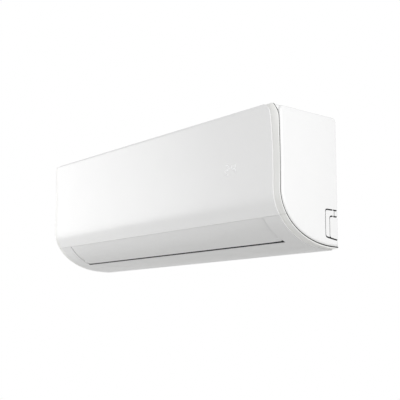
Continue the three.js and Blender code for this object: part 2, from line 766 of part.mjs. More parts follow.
// The heads are sunk into the lip.
function frameScrewRecesses() {
  const radius = frameScrew.head + frameScrew.clearance;
  const low = screwBase.y - unit.cutOver;
  return [-1, 1].map((sign) => screwBar(sign * frameScrew.x, radius, low, screwBase.y + frameScrew.recess));
}

function frameScrewBody(sign) {
  const x = sign * frameScrew.x;
  const seat = screwBase.y + frameScrew.recess - unit.gap;
  return join([
    screwBar(x, frameScrew.head, seat - frameScrew.headLength, seat),
    screwBar(x, frameScrew.shank, seat - frameScrew.headLength / 2, seat + frameScrew.length),
  ]);
}

// Louver: the flap that closes the outlet, with its pivot bosses and pins.

const louverPinEnd = ductWall.x + louverPin.reach;

function louverFlap() {
  const flap = alongX(strip(skin, louverStart, louverEnd, 0, louver.thickness), -louver.half, louver.half);
  const bossFrom = louver.half - louverPin.bossLength;
  const boss = barX(louverPin.boss, bossFrom, louver.half, -louver.pivotDepth, louver.pivotHeight);
  const pin = barX(louverPin.radius, bossFrom, louverPinEnd, -louver.pivotDepth, louver.pivotHeight);
  const ends = [-1, 1].flatMap((sign) => [mirrored(boss, sign), mirrored(pin, sign)]);
  return join([flap, ...ends]);
}

function louverBush() {
  const from = ductWall.x - unit.seam;
  const to = from + bush.length;
  const profile = [
    point(bush.bore, from), point(bush.radius, from), point(bush.radius, to), point(bush.bore, to),
    point(bush.bore, from),
  ];
  return mirrored(turnedX(profile, -louver.pivotDepth, louver.pivotHeight), -1);
}

function louverMotor() {
  const from = ductWall.x + ductWall.thickness + stepMotor.earWall;
  const centre = point(stepMotor.offsetY - louver.pivotDepth, stepMotor.offsetZ + louver.pivotHeight);
  const can = barX(stepMotor.radius, from, from + stepMotor.length, centre.x, centre.y, steps.round);
  const socketRoom = barX(
    louverPin.radius + louverPin.clearance, from - unit.cutOver, louverPinEnd + unit.gap,
    -louver.pivotDepth, louver.pivotHeight,
  );
  const ear = alongX([
    point(centre.x - stepMotor.ear, centre.y),
    point(centre.x + stepMotor.ear, centre.y),
    point(centre.x + stepMotor.ear, centre.y + stepMotor.earReach),
    point(centre.x - stepMotor.ear, centre.y + stepMotor.earReach),
  ], from - stepMotor.earWall + unit.gap, from + stepMotor.earWall);
  return cut(join([can, ear]), [socketRoom]);
}

// Rear chassis: back wall, fan scroll, outlet floor and the walls at the duct's ends.

const fanCentre = point(-fan.depth, fan.height);

function scrollRadius(share) {
  return THREE.MathUtils.lerp(scroll.start, scroll.end, share);
}

function scrollPath() {
  const points = [];
  for (let step = 0; step <= scroll.steps; step += 1) {
    const share = step / scroll.steps;
    const angle = THREE.MathUtils.degToRad(THREE.MathUtils.lerp(scroll.startDeg, scroll.endDeg, share));
    const radius = scrollRadius(share);
    points.push(fanCentre.clone().add(point(radius * Math.cos(angle), radius * Math.sin(angle))));
  }
  return points;
}

// A wall of even thickness beside a path, on its left-hand side.
function wallOutline(path, thickness) {
  const outer = path.map((corner, index) => {
    const before = path[Math.max(0, index - 1)];
    const after = path[Math.min(path.length - 1, index + 1)];
    const along = after.clone().sub(before).normalize();
    return corner.clone().addScaledVector(point(-along.y, along.x), thickness);
  });
  return [...path, ...outer.reverse()];
}

function chassisSections() {
  const backFace = -chassis.back;
  const innerFace = -chassis.back - chassis.wall;
  const middle = innerFace + chassis.wall / 2;
  const path = scrollPath();
  const guide = wallOutline(path, chassis.wall);
  const floor = wallOutline([floorStart, floorEnd], chassis.wall);
  const tab = wallOutline([point(middle, chassis.tabHeight), path[0]], chassis.wall);
  const backWall = rectangle(innerFace, backFace, chassis.channelTop - chassis.wall, chassis.top);
  const ceilingFront = floorStart.x + chassis.ceilingLap;
  const ceiling = rectangle(ceilingFront, middle, chassis.channelTop - chassis.wall / 2, chassis.channelTop);
  const underStart = stationAfter(skin, lipStart, chassis.wall);
  const underEnd = stationAfter(skin, soleStation, skin.toe + middle);
  const under = strip(skin, underStart, underEnd, frameSize.wall + panel.openGap, chassis.wall);
  const heel = rectangle(innerFace, backFace, skin.bottom + frameSize.wall + unit.gap, chassis.channelLow);
  return { guide, floor, tab, backWall, ceiling, under, heel };
}

function ductWallOutline() {
  const inset = louver.thickness + unit.seam;
  const front = stationsBetween(louverStart, lipStart).map((station) => insetPoint(skin, station, inset));
  const panLine = panKeel.clone().sub(panNose).normalize();
  const clear = point(-panLine.y, panLine.x).multiplyScalar(-ductWall.panGap);
  const sunk = -chassis.wall / 2;
  return [
    onFloor(0, sunk), ...front.reverse(), panKeel.clone().sub(clear), panNose.clone().sub(clear),
    point(-fan.depth, fan.height - fan.radius), onFloor(-floorEnd.distanceTo(floorStart), sunk),
  ];
}

// The wall at each end of the fan: it fills the scroll, and is round on the intake side.
function fanWallOutline() {
  const outline = scrollPath().map((corner) => {
    const outward = corner.clone().sub(fanCentre).normalize();
    return corner.clone().addScaledVector(outward, chassis.wall / 2);
  });
  const arcSteps = steps.round;
  for (let step = 0; step <= arcSteps; step += 1) {
    const angle = THREE.MathUtils.degToRad(
      THREE.MathUtils.lerp(scroll.endDeg, scroll.startDeg - fullTurnDeg, step / arcSteps),
    );
    const outward = point(Math.cos(angle), Math.sin(angle));
    outline.push(fanCentre.clone().addScaledVector(outward, fanWall.radius));
  }
  return outline;
}

function rearChassis() {
  const { guide, floor, tab, backWall, ceiling, under, heel } = chassisSections();
  const fanEnd = fanWall.right + fanWall.thickness;
  const ductEnd = ductWall.x + ductWall.thickness;
  const body = join([
    ...[backWall, floor, under, heel].map((outline) => alongX(outline, -chassis.half, chassis.half)),
    ...[guide, tab, ceiling].map((outline) => alongX(outline, -chassis.half, fanEnd)),
    alongX(fanWallOutline(), fanWall.left, fanWall.left + fanWall.thickness),
    alongX(fanWallOutline(), fanWall.right, fanEnd),
    alongX(ductWallOutline(), ductWall.x, ductEnd),
    alongX(ductWallOutline(), -ductEnd, -ductWall.x),
  ]);
  const far = ductEnd + unit.cutOver;
  const near = ductWall.x - unit.cutOver;
  const pinHole = louverPin.radius + louverPin.clearance;
  const bearingHole = bearing.radius + unit.gap;
  const shaftFrom = fanWall.right - unit.cutOver;
  const holes = [
    barX(pinHole, near, far, -louver.pivotDepth, louver.pivotHeight),
    barX(bush.hole, -far, -near, -louver.pivotDepth, louver.pivotHeight),
    barX(bearingHole, fanWall.left - unit.cutOver, fanWall.left + unit.cutOver, -fan.depth, fan.height),
    barX(fanWall.shaftHole, shaftFrom, fanEnd + unit.cutOver, -fan.depth, fan.height),
    ...hookSlots(),
    ...frameScrewHoles(frameScrew.shank + unit.gap),
  ];
  return cut(body, holes);
}

function hookSlots() {
  const halfWidth = hook.width / 2 + hook.slotSide;
  const low = hook.height - hook.slotSide;
  return [-1, 1].map((sign) => block(
    sign * hook.x - halfWidth, sign * hook.x + halfWidth,
    -chassis.back - chassis.wall - unit.cutOver, -chassis.back + unit.cutOver,
    low, low + hook.slotHigh + hook.slotSide,
  ));
}

// Mounting plate: the steel plate on the wall, with the hooks that the chassis hangs on.

function mountingPlate() {
  const shape = roundedShape(rectangle(-plate.half, plate.half, plate.low, plate.high), plate.radius);
  const holeColumns = plateHoleShares.map((columnShare) => columnShare * (plate.half - plate.holeInset));
  const holeRows = [plate.low + plate.holeInset, plate.high - plate.holeInset];
  holeColumns.forEach((x) => holeRows.forEach((z) => {
    const hole = new THREE.Path();
    hole.absarc(x, z, plate.hole, 0, 2 * Math.PI, true);
    shape.holes.push(hole);
  }));
  const sheet = alongDepth(shape, 0, plate.thickness);
  const ribHalf = plate.half - plate.ribInset;
  const ribs = plateRibShares.map((heightShare) => {
    const low = THREE.MathUtils.lerp(plate.low, plate.high, heightShare) - plate.ribHeight / 2;
    const outer = unit.gap - chassis.back;
    return block(-ribHalf, ribHalf, outer, -plate.thickness / 2, low, low + plate.ribHeight);
  });
  const hooks = [-1, 1].map((sign) => plateHook(sign * hook.x));
  return join([sheet, ...ribs, ...hooks]);
}

function plateHook(x) {
  const left = x - hook.width / 2;
  const right = x + hook.width / 2;
  const under = plate.high - hook.thickness;
  const tab = block(left, right, -plate.thickness, 0, under, hook.height + hook.thickness);
  const arm = block(left, right, -hook.reach, 0, hook.height, hook.height + hook.thickness);
  const lipBack = hook.thickness - hook.reach;
  const lip = block(left, right, -hook.reach, lipBack, hook.height, hook.height + hook.lip);
  return join([tab, arm, lip]);
}

// Cross-flow fan, its two shaft ends, the bearing and the motor.

function bladeOutline(angle) {
  const sweep = THREE.MathUtils.degToRad(fanBay.sweepDeg);
  const root = fan.inner + fanBay.bladeThickness;
  const tip = fan.radius - fanBay.bladeThickness / 2;
  const near = point(root * Math.cos(angle), root * Math.sin(angle));
  const far = point(tip * Math.cos(angle + sweep), tip * Math.sin(angle + sweep));
  const along = far.clone().sub(near).normalize();
  const across = point(-along.y, along.x).multiplyScalar(fanBay.bladeThickness / 2);
  return [
    near.clone().sub(across), far.clone().sub(across), far.clone().add(across), near.clone().add(across),
  ].map((corner) => corner.add(fanCentre));
}

function fanRing(from, to, innerRadius) {
  const profile = [
    point(innerRadius, from), point(fan.radius, from), point(fan.radius, to), point(innerRadius, to),
    point(innerRadius, from),
  ];
  return turnedX(profile, fanCentre.x, fanCentre.y);
}

function crossFlowFan() {
  const bodies = [];
  for (let blade = 0; blade < fan.blades; blade += 1) {
    const outline = bladeOutline((blade / fan.blades) * 2 * Math.PI);
    bodies.push(alongX(outline, fanEnds.left + fan.disc / 2, fanEnds.right - fan.disc / 2));
  }
  for (let ring = 1; ring <= fanBay.rings; ring += 1) {
    const middle = THREE.MathUtils.lerp(fanEnds.left, fanEnds.right, ring / (fanBay.rings + 1));
    bodies.push(fanRing(middle - fan.disc / 2, middle + fan.disc / 2, fan.inner - fan.disc));
  }
  [fanEnds.left, fanEnds.right - fan.disc].forEach((from) => {
    bodies.push(barX(fan.radius, from, from + fan.disc, fanCentre.x, fanCentre.y, steps.wide));
  });
  [fanEnds.left, fanEnds.right - fanBay.hubLength].forEach((from) => {
    bodies.push(barX(fanBay.hub, from, from + fanBay.hubLength, fanCentre.x, fanCentre.y));
  });
  const boreFrom = fanEnds.left - unit.cutOver;
  const bore = barX(fanBay.hubBore, boreFrom, fanEnds.right + unit.cutOver, fanCentre.x, fanCentre.y);
  return cut(join(bodies), [bore]);
}

function fanStub() {
  return barX(shaft.radius, shaft.leftEnd, shaft.leftEnd + shaft.leftLength, fanCentre.x, fanCentre.y);
}

function motorShaft() {
  return barX(shaft.radius, shaft.rightStart, shaft.rightEnd, fanCentre.x, fanCentre.y);
}

function fanBearing() {
  const middle = fanWall.left + fanWall.thickness / 2;
  const from = middle - bearing.length / 2;
  const to = middle + bearing.length / 2;
  const profile = [
    point(bearing.bore, from), point(bearing.radius, from),
    point(bearing.radius, to), point(bearing.bore, to), point(bearing.bore, from),
  ];
  return turnedX(profile, fanCentre.x, fanCentre.y);
}

function fanMotor() {
  const canLeft = motor.left + motor.bossLength;
  const profile = [
    point(0, motor.left), point(motor.bossRadius, motor.left), point(motor.bossRadius, canLeft),
    point(motor.radius - motor.round, canLeft), point(motor.radius, canLeft + motor.round),
    point(motor.radius, motor.right - motor.round), point(motor.radius - motor.round, motor.right),
    point(0, motor.right),
  ];
  return turnedX(profile, fanCentre.x, fanCentre.y, steps.wide);
}

function motorBracket() {
  const inner = motor.radius + unit.gap;
  const outer = inner + motorBand.thickness;
  const profile = [
    point(inner, motorBand.left), point(outer, motorBand.left), point(outer, motorBand.right),
    point(inner, motorBand.right), point(inner, motorBand.left),
  ];
  const band = turnedX(profile, fanCentre.x, fanCentre.y, steps.wide);
  const wallFace = -chassis.back - chassis.wall - unit.gap;
  const footFrom = fanCentre.x + inner + motorBand.thickness / 2;
  const foot = block(
    motorBand.left, motorBand.right, footFrom, wallFace,
    fanCentre.y - motorBand.foot / 2, fanCentre.y + motorBand.foot / 2,
  );
  return join([band, foot]);
}

// Evaporator: three finned blocks in an inverted V, end plates, return bends and pipes.
// Each block is the section around a line from its foot to its head.

const coilPlates = { left: coil.left - coil.plate - unit.gap, right: coil.right + unit.gap };

function coilFoot(name) {
  return point(-coilBlocks[name].footDepth, coilBlocks[name].footHeight);
}

function coilHead(name) {
  return point(-coilBlocks[name].headDepth, coilBlocks[name].headHeight);
}

function coilLine(name, distance, across = 0) {
  const foot = coilFoot(name);
  const along = coilHead(name).sub(foot).normalize();
  return foot.addScaledVector(along, distance).addScaledVector(point(-along.y, along.x), across);
}

function coilOutline(name, margin) {
  const length = coilHead(name).distanceTo(coilFoot(name)) + margin;
  const half = coilBlocks[name].thickness / 2 + margin;
  return [
    coilLine(name, -margin, -half), coilLine(name, length, -half), coilLine(name, length, half),
    coilLine(name, -margin, half),
  ];
}

function coilBlock(name) {
  return alongX(coilOutline(name, 0), coil.left, coil.right);
}

function coilEndPlate(from) {
  const to = from + coil.plate;
  const body = join(Object.keys(coilBlocks).map((name) => alongX(coilOutline(name, coil.margin), from, to)));
  const low = drainPan.nose + coil.plate;
  const trimmed = block(from - unit.cutOver, from + unit.cutOver, -skin.depth, 0, 0, low);
  return cut(body, [trimmed]);
}

function returnBend(name, start, near, sign) {
  const low = coilLine(name, start);
  const high = coilLine(name, start + bend.pitch);
  const middle = low.clone().lerp(high, 1 / 2);
  const far = near + sign * bend.leg;
  const radius = bend.pitch / 2;
  const place = (x, spot) => new THREE.Vector3(x, spot.x, spot.y);
  const points = [place(near, low)];
  for (let step = 0; step <= bend.steps; step += 1) {
    const angle = (step / bend.steps) * Math.PI;
    const spot = middle.clone().lerp(low, Math.cos(angle));
    points.push(place(far + sign * radius * Math.sin(angle), spot));
  }
  points.push(place(near, high));
  return sweptTube(points, bend.tube, bend.sides);
}

// A tube through every given point, with its section square to the path's mean direction there.
function sweptTube(points, radius, sides) {
  const rings = points.map((spot, index) => {
    const before = points[Math.max(0, index - 1)];
    const after = points[Math.min(points.length - 1, index + 1)];
    return { spot, along: after.clone().sub(before).normalize() };
  });
  let across = new THREE.Vector3().crossVectors(rings[0].along, unitZ).normalize();
  const positions = [];
  rings.forEach(({ spot, along }) => {
    across = across.clone().addScaledVector(along, -across.dot(along)).normalize();
    const up = new THREE.Vector3().crossVectors(along, across);
    for (let side = 0; side < sides; side += 1) {
      const angle = (side / sides) * 2 * Math.PI;
      const corner = spot.clone()
        .addScaledVector(across, radius * Math.cos(angle))
        .addScaledVector(up, radius * Math.sin(angle));
      positions.push(corner.x, corner.y, corner.z);
    }
  });
  const index = [];
  for (let ring = 0; ring < rings.length - 1; ring += 1) {
    for (let side = 0; side < sides; side += 1) {
      const a = ring * sides + side;
      const b = ring * sides + ((side + 1) % sides);
      index.push(a, b, b + sides, a, b + sides, a + sides);
    }
  }
  const last = (rings.length - 1) * sides;
  for (let side = 1; side < sides - 1; side += 1) {
    index.push(0, side + 1, side, last, last + side, last + side + 1);
  }
  const geometry = new THREE.BufferGeometry();
  geometry.setAttribute('position', new THREE.Float32BufferAttribute(positions, 3));
  geometry.setIndex(index);
  geometry.computeVertexNormals();
  return geometry;
}

// The plate at one end of the coil, with the bends that are brazed into it.
function coilEnd(from, sign) {
  const middle = from + coil.plate / 2;
  const bends = Object.entries(bendStarts).flatMap(
    ([name, starts]) => starts.map((start) => returnBend(name, start, middle, sign)),
  );
  return join([coilEndPlate(from), ...bends]);
}

// A refrigerant pipe: out of the rear block, down behind the motor and along the back channel.
function pipeRoute(station, pipe) {
  const start = coilLine('rear', station);
  const bendRadius = pipeBendShare * pipe.radius;
  const corners = [
    new THREE.Vector3(coilPlates.right + coil.plate + unit.gap, start.x, start.y),
    new THREE.Vector3(pipe.drop, start.x, start.y),
    new THREE.Vector3(pipe.drop, -pipe.depth, coilBlocks.rear.footHeight - bendRadius),
    new THREE.Vector3(pipe.drop, -pipe.depth, pipe.run),
    new THREE.Vector3(pipe.end, -pipe.depth, pipe.run),
  ];
  return roundedRoute(corners, bendRadius);
}

function roundedRoute(corners, radius) {
  const points = [corners[0]];
  for (let index = 1; index < corners.length - 1; index += 1) {
    const corner = corners[index];
    const [enter, leave] = [corners[index - 1], corners[index + 1]].map((other) => {
      const reachShare = Math.min(radius / corner.distanceTo(other), 1 / 2);
      return corner.clone().lerp(other, reachShare);
    });
    points.push(...new THREE.QuadraticBezierCurve3(enter, corner, leave).getPoints(steps.elbow));
  }
  points.push(corners.at(-1));
  return points;
}

function refrigerantPipe(station, pipe) {
  return sweptTube(pipeRoute(station, pipe), pipe.radius, steps.small);
}

// Flare nuts sit at the pipe ends, with a short threaded nose.
function flareNut(pipe) {
  const nutEnd = pipe.end - unit.gap;
  const nut = barX(pipe.nut, nutEnd - pipe.nutLength, nutEnd, -pipe.depth, pipe.run, steps.hexagon);
  const nose = barX(pipe.radius, nutEnd - pipe.nutLength - pipe.radius, nutEnd, -pipe.depth, pipe.run);
  return join([nut, nose]);
}

// Drain pan under the front block; its underside is the outlet's upper wall.

function drainPanBody() {
  const wall = drainPan.wall;
  const outline = [
    point(-drainPan.front, drainPan.frontHigh),
    point(-drainPan.front, drainPan.floor - wall / 2),
    panKeel,
    panNose,
    point(panNose.x, drainPan.nose),
    point(panNose.x - wall, drainPan.nose),
    point(panNose.x - drainPan.slope, drainPan.floor + wall / 2),
    point(wall - drainPan.front, drainPan.floor),
    point(wall - drainPan.front, drainPan.frontHigh),
  ];
  const spout = barX(
    drainSpout.radius + unit.gap, drainPan.right - drainSpout.length / 2, drainPan.right + unit.cutOver,
    -drainSpout.depth, drainSpout.height,
  );
  return cut(alongX(outline, drainPan.left, drainPan.right), [spout]);
}

function drainSpoutTube() {
  const from = drainPan.right - drainSpout.length / 2 + unit.gap;
  const to = from + drainSpout.length;
  const profile = [
    point(drainSpout.bore, from), point(drainSpout.radius, from), point(drainSpout.radius, to),
    point(drainSpout.bore, to), point(drainSpout.bore, from),
  ];
  return turnedX(profile, -drainSpout.depth, drainSpout.height);
}

// Vertical vanes stand on the outlet's floor, each group led by its middle vane.

function vaneBody(x) {
  const { back, front, frontTop, backTop, step, waist, top } = vaneShape;
  const outline = [
    onFloor(back, vane.foot), onFloor(front, vane.foot), onFloor(front, step), onFloor(frontTop, waist),
    onFloor(frontTop, top), onFloor(backTop, top), onFloor(backTop, waist),
  ];
  const half = vane.thickness / 2;
  const overlapHeight = vane.foot + vane.pin;
  return join([
    alongX(outline, x - half, x + half),
    barOnFloor(vane.pin, x, vane.pivot, vane.pinFoot, overlapHeight),
    barOnFloor(vane.linkPin, x, vane.pivot - vane.swing, vane.pinFoot, overlapHeight),
  ]);
}

function vanePlaces(sign) {
  const pitch = (ductWall.x - vane.endRoom) / (vane.count - 1 / 2);
  return Array.from({ length: vane.count }, (_, index) => sign * (index + 1 / 2) * pitch);
}

function vaneRailBody() {
  const reach = vanePlaces(1).at(-1) + vaneRail.overhang;
  const rail = railOnFloor(vaneRail.half, vane.pivot, vaneRail.bottom, vaneRail.top, -reach, reach);
  const hole = vane.pin + vaneRail.pinClearance;
  const holes = [...vanePlaces(-1), ...vanePlaces(1)].map(
    (x) => barOnFloor(hole, x, vane.pivot, -unit.cutOver, vaneRail.top + unit.cutOver),
  );
  return cut(rail, holes);
}

function linkRodBody(sign) {
  const places = vanePlaces(sign).sort((first, second) => first - second);
  const middle = vane.pivot - vane.swing;
  const from = places[0] - linkRod.overhang;
  const to = places.at(-1) + linkRod.overhang;
  const rod = railOnFloor(linkRod.half, middle, linkRod.bottom, linkRod.top, from, to);
  const slotHalfX = vane.linkPin + linkRod.slotClearance;
  const slots = places.map(
    (x) => railOnFloor(linkRod.slotHalf, middle, -unit.cutOver, vane.foot, x - slotHalfX, x + slotHalfX),
  );
  return cut(rod, slots);
}

// Air filters: a ribbed frame with a net behind it, lifted upwards to free it.

function filterSpan(sign) {
  const middle = filterRib.x[1];
  const clear = filter.split;
  return sign > 0 ? [middle + clear, filter.right] : [-filter.left, middle - clear];
}

function filterFrame(sign) {
  const [left, right] = filterSpan(sign);
  const front = -filter.front;
  const back = filter.depth - filter.front;
  const columnPitch = (right - left - filter.bar) / filter.columns;
  const rowPitch = (filter.top - filterLow - filter.bar) / filter.rows;
  const openings = [];
  for (let column = 0; column < filter.columns; column += 1) {
    for (let row = 0; row < filter.rows; row += 1) {
      const x = left + filter.bar + column * columnPitch;
      const z = filterLow + filter.bar + row * rowPitch;
      openings.push(block(
        x, x + columnPitch - filter.bar, front - unit.cutOver, back + unit.cutOver,
        z, z + rowPitch - filter.bar,
      ));
    }
  }
  return cut(block(left, right, front, back, filterLow, filter.top), openings);
}

function filterNet(sign) {
  const [left, right] = filterSpan(sign);
  const back = filter.depth - filter.front + unit.gap;
  const inset = filterMesh.inset;
  return block(
    left + inset, right - inset, back, back + filterMesh.thickness, filterLow + inset, filter.top - inset,
  );
}

// Electric parts: control box, its lid and boards, the hand button, the display and the sensor.

const lidFront = controlBox.front + unit.gap + boxLid.thickness;
const lidScrewX = (controlBox.left + controlBox.right) / 2;
const lidScrewHeight = controlBox.high - lidScrew.inset;

// The board stands on four posts off the box's back.
function boardPosts() {
  const { left, right, back, wall } = controlBox;
  const seat = board.thickness + unit.gap - board.depth;
  const heights = [board.low + board.postInset, board.high - board.postInset];
  return [left + board.postInset, right - board.postInset].flatMap(
    (x) => heights.map((z) => barY(board.post, x, seat, -back - wall / 2, z)),
  );
}

function controlTray() {
  const { left, right, front, back, low, high, wall } = controlBox;
  const outer = block(left, right, -front, -back, low, high);
  const roomFront = -front - unit.cutOver;
  const room = block(left + wall, right - wall, roomFront, -back - wall, low + wall, high - wall);
  const post = barY(lidScrew.inset - wall / 2, lidScrewX, -front, -back - wall / 2, lidScrewHeight);
  const hole = barY(
    lidScrew.shank + lidScrew.clearance, lidScrewX, -front - unit.cutOver,
    lidScrew.length + unit.cutOver - front, lidScrewHeight,
  );
  return cut(join([cut(outer, [room]), post, ...boardPosts()]), [hole]);
}

function controlLid() {
  const { left, right, low, high, front } = controlBox;
  const inset = boxLid.inset;
  const sheet = block(left + inset, right - inset, -lidFront, -front - unit.gap, low + inset, high - inset);
  const holeFront = -lidFront - unit.cutOver;
  const holeBack = unit.cutOver - front;
  const screwHole = barY(
    lidScrew.shank + lidScrew.clearance, lidScrewX, holeFront, holeBack, lidScrewHeight,
  );
  const buttonHole = barY(
    button.radius + button.clearance, button.x, holeFront, holeBack, button.height,
  );
  return cut(sheet, [screwHole, buttonHole]);
}

function lidScrewBody() {
  const seat = -lidFront - unit.gap;
  return join([
    barY(lidScrew.head, lidScrewX, seat - lidScrew.headLength, seat, lidScrewHeight),
    barY(lidScrew.shank, lidScrewX, seat - lidScrew.headLength / 2, seat + lidScrew.length, lidScrewHeight),
  ]);
}

function controlBoard() {
  const { left, right, wall } = controlBox;
  const from = left + wall + board.inset;
  const to = right - wall - board.inset;
  const face = -board.depth;
  const sheet = block(from, to, face, face + board.thickness, board.low, board.high);
  const components = Object.entries(boardPartShares).map(([name, { across, up }]) => {
    const [partLeft, partRight] = across.map((share) => THREE.MathUtils.lerp(from, to, share));
    const [low, high] = up.map((share) => THREE.MathUtils.lerp(board.low, board.high, share));
    return block(partLeft, partRight, face - boardPartHeights[name], face + board.thickness / 2, low, high);
  });
  return join([sheet, ...components]);
}

function terminalBlock() {
  const low = controlBox.low + controlBox.wall + unit.gap;
  const back = -controlBox.back - controlBox.wall - unit.gap;
  const body = block(terminal.left, terminal.right, -terminal.front, back, low, low + terminal.tall);
  const pitch = (terminal.right - terminal.left) / terminal.slots;
  const middle = low + terminal.tall / 2;
  const slots = Array.from({ length: terminal.slots }, (_, index) => {
    const x = terminal.left + (index + 1 / 2) * pitch;
    const half = terminal.slot / 2;
    return block(
      x - half, x + half, -terminal.front - unit.cutOver, terminal.slotDepth - terminal.front,
      middle - terminal.slot, middle + terminal.slot,
    );
  });
  return cut(body, slots);
}

function handButton() {
  const { x, height, radius, front, back, collar, collarLength } = button;
  const behindLid = unit.gap - controlBox.front;
  return join([
    barY(radius, x, -front, -back, height),
    barY(collar, x, behindLid, behindLid + collarLength, height),
  ]);
}

function displayBoard() {
  const middle = (display.low + display.high) / 2;
  const face = panel.thickness + unit.gap - faceDepth(skin, display.low);
  const back = face + display.thickness;
  const sheet = block(display.left, display.right, face, back, display.low, display.high);
  const window = block(
    display.left + display.thickness, display.right - display.thickness,
    face - unit.cutOver, face + display.rim,
    middle - display.windowHalf, middle + display.windowHalf,
  );
  return cut(sheet, [window]);
}

function coilSensor() {
  const front = coilLine('front_lower', 0).x - coilBlocks.front_lower.thickness / 2;
  const centre = front - sensor.gap - sensor.radius;
  return barX(sensor.radius, sensor.left, sensor.left + sensor.length, centre, sensor.height, steps.small);
}

// Assembly

const group = new THREE.Group();

function add(name, geometry, finish) {
  const mesh = new THREE.Mesh(geometry, new THREE.MeshStandardMaterial(finishes[finish]));
  mesh.name = name;
  group.add(mesh);
}

const ends = { left: -1, right: 1 };

add('mounting_plate', mountingPlate(), 'zincSteel');
add('rear_chassis', rearChassis(), 'innerWhite');
add('front_frame', frontFrame(), 'satinWhite');
add('front_panel', frontPanel(), 'glossWhite');
add('louver', louverFlap(), 'louverWhite');
add('louver_motor', louverMotor(), 'steel');
add('louver_bush', louverBush(), 'darkPlastic');
Object.entries(ends).forEach(([end, sign]) => {
  add(`end_cover_${end}`, endCover(sign), 'glossWhite');
  add(`pipe_cover_${end}`, pipeCover(sign), 'glossWhite');
  add(`panel_trim_${end}`, panelTrim(sign), 'bandGrey');
  add(`lower_trim_${end}`, lowerTrim(sign), 'bandGrey');
  add(`filter_frame_${end}`, filterFrame(sign), 'innerWhite');
  add(`filter_net_${end}`, filterNet(sign), 'meshGrey');
  add(`link_rod_${end}`, linkRodBody(sign), 'innerWhite');
  add(`frame_screw_${end}`, frameScrewBody(sign), 'steel');
  vanePlaces(sign).forEach((x, index) => add(`vane_${end}_${index + 1}`, vaneBody(x), 'innerWhite'));
});
add('pipe_cover_inner', pipeCoverInner(), 'glossWhite');
add('vane_rail', vaneRailBody(), 'innerWhite');
add('cross_flow_fan', crossFlowFan(), 'fanGrey');
add('fan_stub', fanStub(), 'steel');
add('motor_shaft', motorShaft(), 'steel');
add('fan_bearing', fanBearing(), 'rubber');
add('fan_motor', fanMotor(), 'darkPlastic');
add('motor_bracket', motorBracket(), 'innerWhite');
Object.keys(coilBlocks).forEach((name) => add(`coil_${name}`, coilBlock(name), 'aluminium'));
add('coil_end_left', coilEnd(coilPlates.left, -1), 'copper');
add('coil_end_right', coilEnd(coilPlates.right, 1), 'copper');
add('gas_pipe', refrigerantPipe(pipeRise.gas, gasPipe), 'copper');
add('liquid_pipe', refrigerantPipe(pipeRise.liquid, liquidPipe), 'copper');
add('gas_flare_nut', flareNut(gasPipe), 'brass');
add('liquid_flare_nut', flareNut(liquidPipe), 'brass');
add('drain_pan', drainPanBody(), 'innerWhite');
add('drain_spout', drainSpoutTube(), 'rubber');
add('control_box', controlTray(), 'innerWhite');
add('control_box_lid', controlLid(), 'innerWhite');
add('control_board', controlBoard(), 'boardGreen');
add('terminal_block', terminalBlock(), 'darkPlastic');
add('hand_button', handButton(), 'satinWhite');
add('display_board', displayBoard(), 'darkPlastic');
add('coil_sensor', coilSensor(), 'copper');
add('lid_screw', lidScrewBody(), 'steel');

group.position.z = -originHeight;

export default group;
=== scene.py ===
"""Wall-hung indoor unit of a split air conditioner: its moulded covers, fins, fan and finishes."""

import json
import math
from dataclasses import dataclass, replace

import bmesh
import bpy
from mathutils import Matrix, Vector

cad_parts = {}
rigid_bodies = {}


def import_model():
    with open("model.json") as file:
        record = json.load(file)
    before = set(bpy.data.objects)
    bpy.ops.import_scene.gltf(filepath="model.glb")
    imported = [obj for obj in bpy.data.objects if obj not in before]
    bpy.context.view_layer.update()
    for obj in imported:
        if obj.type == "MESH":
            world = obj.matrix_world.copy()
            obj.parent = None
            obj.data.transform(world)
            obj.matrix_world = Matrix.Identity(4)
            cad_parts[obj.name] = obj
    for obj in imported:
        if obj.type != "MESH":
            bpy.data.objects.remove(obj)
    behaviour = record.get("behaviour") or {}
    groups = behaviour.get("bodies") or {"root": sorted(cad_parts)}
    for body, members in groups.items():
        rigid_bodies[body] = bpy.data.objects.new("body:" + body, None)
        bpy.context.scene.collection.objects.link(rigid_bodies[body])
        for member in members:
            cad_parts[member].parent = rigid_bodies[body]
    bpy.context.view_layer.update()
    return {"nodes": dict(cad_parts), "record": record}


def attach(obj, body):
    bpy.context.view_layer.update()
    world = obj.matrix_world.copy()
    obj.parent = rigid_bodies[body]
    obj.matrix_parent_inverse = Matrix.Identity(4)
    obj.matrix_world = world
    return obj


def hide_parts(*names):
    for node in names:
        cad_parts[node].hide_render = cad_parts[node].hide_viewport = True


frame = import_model()

# Sizes, in millimetres. Depths are negative in front of the wall, heights start at the underside.

METRE = 1000
ORIGIN_HEIGHT = 144.0  # of the row frame's origin above the underside
END_FACE = 430.0  # half of the overall width
GAP = 0.3  # between pieces that touch
SEAM = 0.6  # visible line between two covers
BAND_SEAM = 0.15
CUT_OVER = 5.0  # how far a cutting body runs past what it cuts
ENDS = (("left", -1), ("right", 1))  # each end of the unit, with the sign of its x
EDGE_SEGMENTS = 3
EDGE_ANGLE_DEG = 35.0  # edges sharper than this are rounded
CORNER_STEPS = 6
ROUND_STEPS = 24
BOSS_STEPS = 40
FAN_STEPS = 64
HEXAGON = 6
TUBE_STEPS = 16


@dataclass(frozen=True)
class Section:
    """The skin's outline seen from the end."""

    top: float
    top_at_wall: float
    corner: float
    lip_back: float
    depth: float
    flare: float
    flare_start: float
    shoulder: float
    toe: float
    bottom: float


